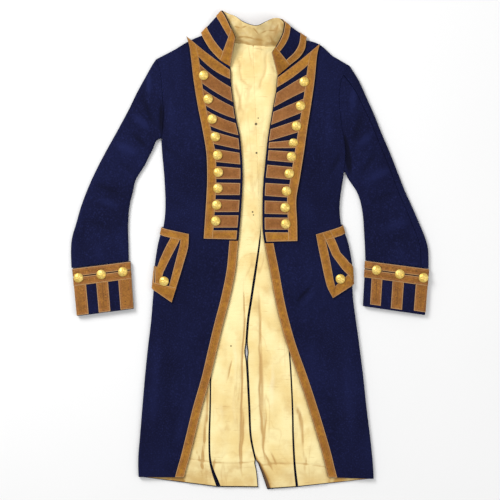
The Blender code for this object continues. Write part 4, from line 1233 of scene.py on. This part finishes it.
def make_sleeve(side):
    """A top and an under sleeve, which meet at the hind seam and the fore seam."""
    row, row_drops = edged(SLEEVE_START[side], len(SLEEVE[side]) - 1, 150, 0.05, 0.05)
    row = row[0]
    ends = spline(SLEEVE[side], row)
    run = ends[:, 2:4] - ends[:, 0:2]
    width = np.linalg.norm(run, axis=1)
    axis = run / width[:, None]
    row_plane = np.stack([-axis[:, 1], axis[:, 0], np.zeros(len(row))], axis=-1)[:, None]
    row_plane = row_plane * clamp(1 - row / 2)[:, None, None]
    rounded = EDGE_ROUND / width
    surface = partial(sleeve_surface, side)
    seam, gap = HIND_SEAM[side], SLEEVE_SEAM_PART
    bend = fold_places(len(row))
    if seam > 0:
        top_start, top_start_drops = edged(seam + gap, 1, 44, rounded)
        under_end, under_end_drops = edged(4, 4 + seam - gap, 3, 0, rounded)
        under_bend = bend + 2
    else:
        fold, fold_drops = edged(seam, 0, 5, 0.06)
        flat, _ = edged(0, 1, 44)
        fold, flat = (np.broadcast_to(v, (len(row), v.shape[-1])) for v in (fold[:, :-1], flat))
        top_start = np.concatenate([fold, flat], axis=1)
        top_start_drops = np.concatenate([fold_drops[:-1], np.zeros(flat.shape[1])])
        under_bend = np.zeros((len(row), 0))
        under_end, under_end_drops = edged(3, 4 + seam - 0.02, 9, 0, 0.06)
        under_end = np.broadcast_to(under_end[:, 1:], (len(row), under_end.shape[1] - 1))
        under_end_drops = under_end_drops[1:]
    top_end, top_end_drops = edged(2, FORE_SEAM - gap, 3, 0, rounded)
    top = np.concatenate([top_start, bend, top_end], axis=1)
    top_drops = np.concatenate([top_start_drops, np.zeros(FOLD_COLUMNS), top_end_drops])
    under_start, under_start_drops = edged(FORE_SEAM + gap, 3, 24, rounded)
    under = np.concatenate([under_start, under_bend, under_end], axis=1)
    under_drops = np.concatenate([under_start_drops, np.zeros(under_bend.shape[1]), under_end_drops])
    made = []
    halves = (("top", top, top_drops, 1), ("under", under, under_drops, -1))
    for name, places, column_drops, facing in halves:
        drops = crossed(row_drops, column_drops)
        rows = row if facing > 0 else row - UNDER_SEAM_SHIFT * clamp(1 - row)
        outer, inner = walled(surface, rows[:, None], places, drops, WALL, EDGE_ROUND, facing, row_plane)
        # Painted shade in troughs and painted highlight on ridges of the top face, and painted shade on
        # rounded edges
        on_top = (facing > 0) * (outer[..., 2] > ON_TOP_HEIGHT)
        tone = creases(SLEEVE_CREASES[side], outer[..., 0], outer[..., 1]) * on_top - EDGE_SHADE * drops
        made.append(piece(f"cloth_{name}_sleeve_{side}", [shell(outer, inner, marks={"tone": tone})],
                          WOOL, [f"{name}_sleeve_{side}"]))
    return made


def make_cuff(side):
    down, row_drops = edged(0, 1, 26, 0.012, 0.012)
    down = down[0][:, None]
    place = np.concatenate([np.linspace(k, k + 1, count + 1)[:-1] for k, count in enumerate(CUFF_COLUMNS)])
    places = np.broadcast_to(place, (len(down), len(place)))
    drops = np.broadcast_to(row_drops[:, None], places.shape)
    points = cuff_surface(side, down, places)
    around = np.roll(points, -1, axis=1) - np.roll(points, 1, axis=1)
    out = unit(np.cross(around, np.gradient(points, axis=0)))
    out = out if out[len(down) // 5, CUFF_COLUMNS[0] // 2, 2] > 0 else -out
    shaped = EDGE_ROUND * drops[..., None]
    outer, inner = points - out * shaped, points - out * (CUFF_WALL - shaped)
    # Painted shade on the rounded edges, and a dark painted line of shade in the slit between the lace
    # bands
    tone = -0.6 * drops - 3.0 * bell(down - CUFF_SLIT, 0.03)
    return piece("cloth_cuff_" + side, [shell(outer, inner, ring=True, marks={"tone": tone})], WOOL,
                 ["cuff_" + side])


def ribbon(surface, place, across, lift, ends=(False, False), lined=False):
    """A strip of lace over a surface; rows run along it, and free ends have a selvedge too.

    A lined strip has a dark stitched line along its middle.
    """
    place, across = np.broadcast_arrays(place, across)
    base = surface(place, across)
    wide = np.linalg.norm(np.diff(base, axis=1), axis=-1)
    wide = np.concatenate([np.zeros((len(base), 1)), np.cumsum(wide, axis=1)], axis=1)
    long = np.linalg.norm(np.diff(base, axis=0), axis=-1)
    long = np.concatenate([np.zeros((1, base.shape[1])), np.cumsum(long, axis=0)], axis=0)
    from_end = long[-1:] - long
    border = np.minimum(wide, wide[:, -1:] - wide)
    for free, away in zip(ends, (long, from_end)):
        if free:
            border = np.minimum(border, away)
    middle = np.full_like(wide, NO_LINE)
    if lined:
        middle = np.abs(wide - wide[:, -1:] / 2) + np.clip(LINE_END - from_end, 0, None)
    height = LACE_WALL * (0.62 + 0.38 * clamp(border / 0.6)) + 0.28 * bell(border - 1.1, 0.6)
    lift = np.broadcast_to(lift, border.shape)
    outer, inner = layered(surface, place, across, lift, lift + height)
    return shell(outer, inner, marks={"border": border, "middle": middle})


# Where the lengthwise lines of a strip of lace lie across it
LACE_LINES = np.array([0, 0.035, 0.07, 0.12, 0.2, 0.27, 0.38, 0.5, 0.62, 0.73, 0.8, 0.88, 0.93, 0.965, 1])


def strip_rows(start, end, count, close_end=0.0):
    """A column of places along a strip, closer together at a free end."""
    places = list(np.linspace(start, end, count + 1))
    if close_end:
        places += [end - close_end * part for part in (0.12, 0.3, 0.6)]
    return np.array(sorted(places, reverse=end < start))[:, None]


def make_lapel(side):
    """A lapel and its comb of lace: cross strips tucked under an outer band."""
    count = 2 * len(LAPEL_STRIPS[side]) - 1
    place, row_drops = edged(0, count, 168, 0.05, 0.07)
    place = place[0]
    outer_points, inner_points, _ = lapel_line(side, place)
    width = np.linalg.norm(inner_points - outer_points, axis=1)
    part, column_drops = edged(0, 1, 30, 0.9 / width, 0.9 / width)
    part = part * (1 - 0.2 / width[:, None])
    surface = partial(lapel_surface, side)
    lift = LAPEL_GAP + LAPEL_WALL
    drops = crossed(row_drops, column_drops)
    shaped = LAYER_EDGE_ROUND * drops
    outer, inner = layered(surface, place[:, None], part, LAPEL_GAP + shaped, lift - shaped)
    # The lapel's cloth is painted darker all over and more at its rounded edges, as shade beside and under
    # the lace
    cloth = piece("cloth_lapel_" + side, [shell(outer, inner, marks={"tone": -1.2 - EDGE_SHADE * drops})],
                  WOOL, ["lapel_" + side])

    def band_end(lines):
        """Part of the way along a cross line that the outer band takes."""
        start, end, _ = lapel_line(side, lines)
        return LACE_WIDTH / np.abs(end[..., 0] - start[..., 0])

    on_lapel = lift + LAYER_GAP
    strips = []
    for k in range(count // 2 + 1):
        lines = 2 * k + LACE_LINES[None, :]
        start, end, _ = lapel_line(side, lines)
        length = np.linalg.norm(end - start, axis=-1)
        tuck = band_end(lines) - LACE_TUCK / length
        if k in (0, count // 2):
            tuck = np.full_like(length, END_STRIP_TUCK / length.mean())
        # The upper strips reach closer to the front edge
        finish = 1 - LAPEL_EDGE_MARGIN * min(1.0, 0.35 + 0.13 * k) / length
        parts = tuck + (finish - tuck) * strip_rows(0, 1, 22, 0.12)
        strips.append(ribbon(surface, lines, parts, on_lapel, (False, True)))
    across = LACE_INSET + (band_end(strip_rows(0, count, 169)) - LACE_INSET) * LACE_LINES
    band = ribbon(surface, strip_rows(0, count, 169), across, on_lapel + LACE_LAP, (True, True))
    trim = piece("lace_lapel_" + side, strips + [band], STRIP_BRAID, ["lapel_lace_" + side])

    # The outer band and the strips at both ends are of the plainer lace
    trim.data.materials.append(BRAID)
    plain = [1] + [0] * (len(strips) - 2) + [1, 1]
    counts = [len(made[1]) for made in strips + [band]]
    trim.data.polygons.foreach_set("material_index", np.repeat(plain, counts))
    return cloth, trim


def make_front_lace(side):
    place = strip_rows(0.03, FRONT_LACE_TOP[side], 150)
    rows = spline(BODY[side], place[:, 0])
    width = np.linalg.norm(rows[:, 2:4] - rows[:, 0:2], axis=1)[:, None] - SIDE_ROUND
    across = (FRONT_LACE_INSET + FRONT_LACE_WIDTH * LACE_LINES) / width
    made = ribbon(partial(front_surface, side), place, across, LAYER_GAP, (True, False))
    return piece("lace_front_" + side, [made], BRAID, ["front_lace_" + side])


def make_cuff_lace(side):
    """Two bands round the top with a slit between them, and three upright strips."""
    def surface(place, down):
        return cuff_surface(side, down, place)

    lift = LAYER_GAP + CUFF_LACE_RISE
    around = strip_rows(CUFF_LACE_FROM, CUFF_LACE_STOP[side], 90)
    slit_top, slit_foot = CUFF_SLIT - CUFF_SLIT_PART, CUFF_SLIT + CUFF_SLIT_PART
    shells = []
    for start, end in ((CUFF_LACE_INSET, slit_top), (slit_foot, CUFF_BAND)):
        shells.append(ribbon(surface, around, start + (end - start) * LACE_LINES, lift + LACE_LAP))
    for start, end, finish in CUFF_STRIPS[side]:
        down = strip_rows(CUFF_BAND - CUFF_LACE_TUCK, finish - CUFF_LACE_INSET, 30, 0.08)
        place = start + (end - start) * LACE_LINES
        shells.append(ribbon(surface, place, down, lift, (False, True), True))
    return piece("lace_cuff_" + side, shells, CUFF_BRAID, ["cuff_lace_" + side])


# Bands of lace on the flaps: two places (down, across) at one end, two at the other, lift in mm
FLAP_BANDS = {
    "left": [
        ([(0.03, 0.20), (0.03, 0.47)], [(0.69, 0.57), (0.60, 0.78)], 0.0),
        ([(0.62, 0.54), (0.60, 0.86)], [(0.90, 0.60), (0.90, 0.80)], 0.2),
        ([(0.62, 0.88), (0.62, 0.99)], [(0.90, 0.84), (0.90, 0.99)], 0.25),
        ([(0.012, 0.018), (0.145, 0.245)], [(0.012, 0.99), (0.145, 0.99)], 0.4),
        ([(0.012, 0.018), (0.145, 0.245)], [(0.988, 0.018), (0.845, 0.27)], 0.45),
        ([(0.988, 0.018), (0.80, 0.018)], [(0.988, 0.99), (0.875, 0.99)], 0.55),
    ],
    "right": [
        ([(0.988, 0.018), (0.835, 0.25)], [(0.988, 0.99), (0.70, 0.99)], 0.0),
        ([(0.03, 0.20), (0.03, 0.46)], [(0.36, 0.33), (0.36, 0.56)], 0.3),
        ([(0.36, 0.33), (0.36, 0.56)], [(0.62, 0.54), (0.56, 0.77)], 0.3),
        ([(0.62, 0.54), (0.56, 0.77)], [(0.88, 0.83), (0.70, 0.99)], 0.3),
        ([(0.012, 0.018), (0.145, 0.245)], [(0.012, 0.99), (0.145, 0.99)], 0.45),
        ([(0.012, 0.018), (0.145, 0.245)], [(0.988, 0.018), (0.835, 0.25)], 0.5),
    ],
}


def make_flap(side):
    """A pocket flap with its frame of lace and slanting strip."""
    surface = partial(flap_surface, side)
    down, row_drops = edged(0, 1, 40, 0.008, 0.008)
    across, column_drops = edged(0, 1, 34, 0.012, 0.012)
    drops = crossed(row_drops, column_drops)
    shaped = LAYER_EDGE_ROUND * drops
    down, across = np.broadcast_arrays(down[0][:, None], across)
    outer, inner = layered(surface, down, across, FLAP_GAP + shaped, FLAP_GAP + FLAP_WALL - shaped)
    # Painted shade on the flap's rounded edges
    cloth = piece("cloth_flap_" + side, [shell(outer, inner, marks={"tone": -0.5 * drops})], WOOL,
                  ["pocket_flap_" + side])
    run = strip_rows(0, 1, 30)[..., None]
    shells = []
    for starts, ends, extra in FLAP_BANDS[side]:
        first, second = (np.array(start) * (1 - run) + np.array(end) * run
                         for start, end in zip(starts, ends))
        both = first + (second - first) * LACE_LINES[None, :, None]
        lift = FLAP_GAP + FLAP_WALL + LAYER_GAP + extra
        shells.append(ribbon(surface, both[..., 0], both[..., 1], lift))
    trim = piece("lace_flap_" + side, shells, BRAID, ["flap_lace_" + side])
    return cloth, trim


def make_collar():
    """The standing collar and its lace."""
    place, row_drops = edged(0, COLLAR_LAST, 200, 0.04, 0.04)
    up, column_drops = edged(0, 1, 18, 0.02, 0.03)
    drops = crossed(row_drops, column_drops)
    place, up = np.broadcast_arrays(place[0][:, None], up)
    outer, inner = walled(collar_surface, place, up, drops, COLLAR_WALL, COLLAR_EDGE_ROUND)
    # Painted shade on the rounded edges, and a dark painted line of shade along the top edge beside the
    # lace
    tone = -0.5 * drops - 2.4 * (up > 0.9)
    cloth = piece("cloth_collar", [shell(outer, inner, marks={"tone": tone})], WOOL, ["collar"])
    run, rise = strip_rows(0, COLLAR_LAST, 170), strip_rows(0, 1, 20)
    shells = []
    for start, end in ((0.0, COLLAR_LACE_PART), (1 - COLLAR_LACE_PART, COLLAR_RIM)):
        shells.append(ribbon(collar_surface, run, start + (end - start) * LACE_LINES, LAYER_GAP))
    for start, end in ((0.0, COLLAR_FRONT_LACE), (COLLAR_LAST, COLLAR_LAST - COLLAR_FRONT_LACE)):
        places = start + (end - start) * LACE_LINES
        shells.append(ribbon(collar_surface, places, rise, LAYER_GAP + LACE_LAP))
    return cloth, piece("lace_collar", shells, BRAID, ["collar_lace"])


def make_collar_lining():
    """The stained satin inside the collar, behind the neck, with its creases and wrinkles only painted as
    shade and highlight.
    """
    place, row_drops = edged(*COLLAR_LINING_PLACES, 140, 0.02, 0.02)
    up, column_drops = edged(-0.05, 1, 40, 0.015, 0.015)
    drops = crossed(row_drops, column_drops)
    place, up = np.broadcast_arrays(place[0][:, None], up)
    gap, shaped = COLLAR_WALL + LAYER_GAP, 0.4 * drops
    outer, inner = layered(collar_surface, place, up, gap + shaped, gap + LINING_WALL - shaped)
    x, y, z = (outer[..., k] for k in range(3))
    # Painted shade and highlight of creases and wrinkles, and a band of painted shade along the collar's
    # base
    tone = ripple(x, y + z, 1.1, 22, 3.0) + creases(COLLAR_CREASES, x, y) - 1.3 * bell(up - 0.1, 0.11)
    marks = {"tone": tone, "soil_and_shade": 0.46 + 0.26 * np.sin(place * 2.3) ** 2}
    return piece("satin_collar", [shell(outer, inner, marks=marks)], COLLAR_LINING, ["collar_lining"])


# Button profile: part of the radius, height, shade
BUTTON_PROFILE = [
    (0.72, 0.0, -1.0), (0.93, 0.3, -1.0), (1.0, 0.9, -0.6), (1.0, 1.35, -0.2), (0.975, 1.7, 0.0),
    (0.94, 1.85, 0.0), (0.905, 1.8, -0.5), (0.88, 1.72, -0.9), (0.85, 1.95, -0.3), (0.80, 2.45, 0.0),
    (0.72, 3.0, 0.0), (0.64, 3.45, 0.0), (0.55, 3.85, 0.0), (0.46, 4.15, 0.0), (0.37, 4.4, 0.0),
    (0.28, 4.55, 0.0), (0.19, 4.66, 0.0), (0.10, 4.73, 0.0), (0.04, 4.75, 0.0),
]
BUTTON_SIDES = 72
BUTTON_CROWN = 4.95
BEADS = 36
BEAD_HEIGHT = 0.14
PETALS = 6
PETAL_HEIGHT = 0.28
BUTTON_TILT = 0.035
TILTED_BUTTONS = {"lapel_button_right_4": 0.35, "lapel_button_right_5": 0.16}


def button_mesh():
    """A domed button with a beaded rim and a plain rosette of petals."""
    angle = np.linspace(0, 2 * math.pi, BUTTON_SIDES, endpoint=False)
    rings, tones = [], []
    for part, height, shade in BUTTON_PROFILE:
        inside = clamp((0.78 - part) / 0.1) * clamp((part - 0.12) / 0.1)
        reach = 0.42 + 0.26 * np.cos(PETALS * angle)
        raised = np.clip((reach - part) / 0.07, -1, 1)
        bead = BEAD_HEIGHT * np.cos(BEADS * angle) * (0.93 < part < 0.99)
        z = height + PETAL_HEIGHT * raised * inside + bead
        radius = BUTTON_RADIUS * part
        rings.append(np.stack([radius * np.cos(angle), radius * np.sin(angle), z], axis=-1))
        tones.append(shade - 0.6 * inside * (np.abs(raised) < 0.9))
    points = np.concatenate(rings + [np.array([[0, 0, BUTTON_CROWN], [0, 0, 0.0]])]) * MM
    crown, back = len(points) - 2, len(points) - 1
    top = (len(rings) - 1) * BUTTON_SIDES
    faces = []
    for k in range(BUTTON_SIDES):
        following = (k + 1) % BUTTON_SIDES
        for low in range(0, top, BUTTON_SIDES):
            high = low + BUTTON_SIDES
            faces.append((low + k, low + following, high + following, high + k))
        faces += [(top + k, top + following, crown), (following, k, back)]
    mesh = bpy.data.meshes.new("button")
    mesh.from_pydata(points, [], faces)
    attribute = mesh.attributes.new("tone", "FLOAT", "POINT")
    attribute.data.foreach_set("value", np.concatenate(tones + [np.array([0.0, -1.0])]))
    mesh.shade_smooth()
    mesh.set_sharp_from_angle(angle=math.radians(60))
    mesh.materials.append(GILT)
    return mesh


def make_buttons(side, mesh):
    """Every button of one side, each turned and tilted a little differently."""
    on_lapel = LAPEL_GAP + LAPEL_WALL + LAYER_GAP + LACE_WALL + 2 * LAYER_GAP
    on_flap = FLAP_GAP + FLAP_WALL + FLAP_LACE_GAP + LACE_WALL + LAYER_GAP
    placed = [(f"lapel_button_{side}_{number}", x, y, front_height(side, x, y) + on_lapel)
              for number, (x, y) in enumerate(LAPEL_BUTTONS[side], 1)]
    placed += [(f"cuff_button_{side}_{number}", x, y, CUFF_HEIGHT + LACE_WALL + 3 * LAYER_GAP)
               for number, (x, y) in enumerate(CUFF_BUTTONS[side], 1)]
    x, y = FLAP_BUTTON[side]
    placed.append(("flap_button_" + side, x, y, front_height(side, x, y) + on_flap))
    made = {}
    for k, (node, x, y, z) in enumerate(placed):
        thing = linked("gilt_" + node, mesh)
        thing.location = (x * MM, y * MM, float(z) * MM)
        thing.rotation_euler = (TILTED_BUTTONS.get(node, BUTTON_TILT), 0.03 * math.sin(2.3 * k), 1.7 * k)
        thing.rotation_mode = "ZYX"
        made[node] = dressed(thing, [node])
    return made


# Room

# Room sizes are in metres
FLOOR_SIZE = 6.0
FLOOR_Z = -0.0002
CAMERA_DISTANCE = 8.0
FLOOR_SEEN = 1.1
SENSOR = 36.0
# Lamps: place, size, power
LAMPS = {"key": ((-1.6, 1.5, 1.9), 1.2, 62), "fill": ((1.9, -0.9, 2.4), 2.4, 26)}


def make_floor():
    corners = [(x * FLOOR_SIZE, y * FLOOR_SIZE, FLOOR_Z) for x, y in ((-1, -1), (1, -1), (1, 1), (-1, 1))]
    mesh = bpy.data.meshes.new("floor")
    mesh.from_pydata(corners, [], [(0, 1, 2, 3)])
    n = Nodes("pale_paper", 0.9, Specular_IOR_Level=0.1)
    mesh.materials.append(n.finish(n.mix(n.noise(3, 2), (0.86, 0.86, 0.86, 1), (0.88, 0.88, 0.88, 1))))
    linked("floor", mesh)


def make_lamp(name, place, size, power):
    """A square lamp that points at the middle of the coat."""
    light = bpy.data.lights.new(name, "AREA")
    light.shape = "SQUARE"
    light.size = size
    light.energy = power
    thing = linked(name, light)
    thing.location = place
    thing.rotation_euler = (-Vector(place)).to_track_quat("-Z", "Y").to_euler()


def make_room():
    make_floor()
    for name, (place, size, power) in LAMPS.items():
        make_lamp(name, place, size, power)
    world = bpy.data.worlds.new("room")
    world.use_nodes = True
    background = world.node_tree.nodes["Background"]
    background.inputs["Color"].default_value = (1, 1, 1, 1)
    background.inputs["Strength"].default_value = 0.55
    bpy.context.scene.world = world
    bpy.context.scene.view_settings.view_transform = "Standard"


def make_camera():
    """Straight above the coat, far off, with 1.1 m of floor across the frame."""
    data = bpy.data.cameras.new("camera")
    data.sensor_width = SENSOR
    data.lens = SENSOR * CAMERA_DISTANCE / FLOOR_SEEN
    data.clip_end = 100
    thing = linked("camera", data)
    thing.location = (0, 0, CAMERA_DISTANCE)
    bpy.context.scene.camera = thing


def build():
    mesh = button_mesh()
    for side in SIDES:
        buttons = make_buttons(side, mesh)
        back, lining = make_back(side), make_back_lining(side)
        skirt, front = make_side_lining(side), make_front(side)
        lapel, lapel_lace = make_lapel(side)
        front_lace = make_front_lace(side)
        top, under = make_sleeve(side)
        cuff, cuff_lace = make_cuff(side), make_cuff_lace(side)
        flap, flap_lace = make_flap(side)
    collar, collar_lace = make_collar()
    collar_lining = make_collar_lining()


make_room()
make_camera()
build()
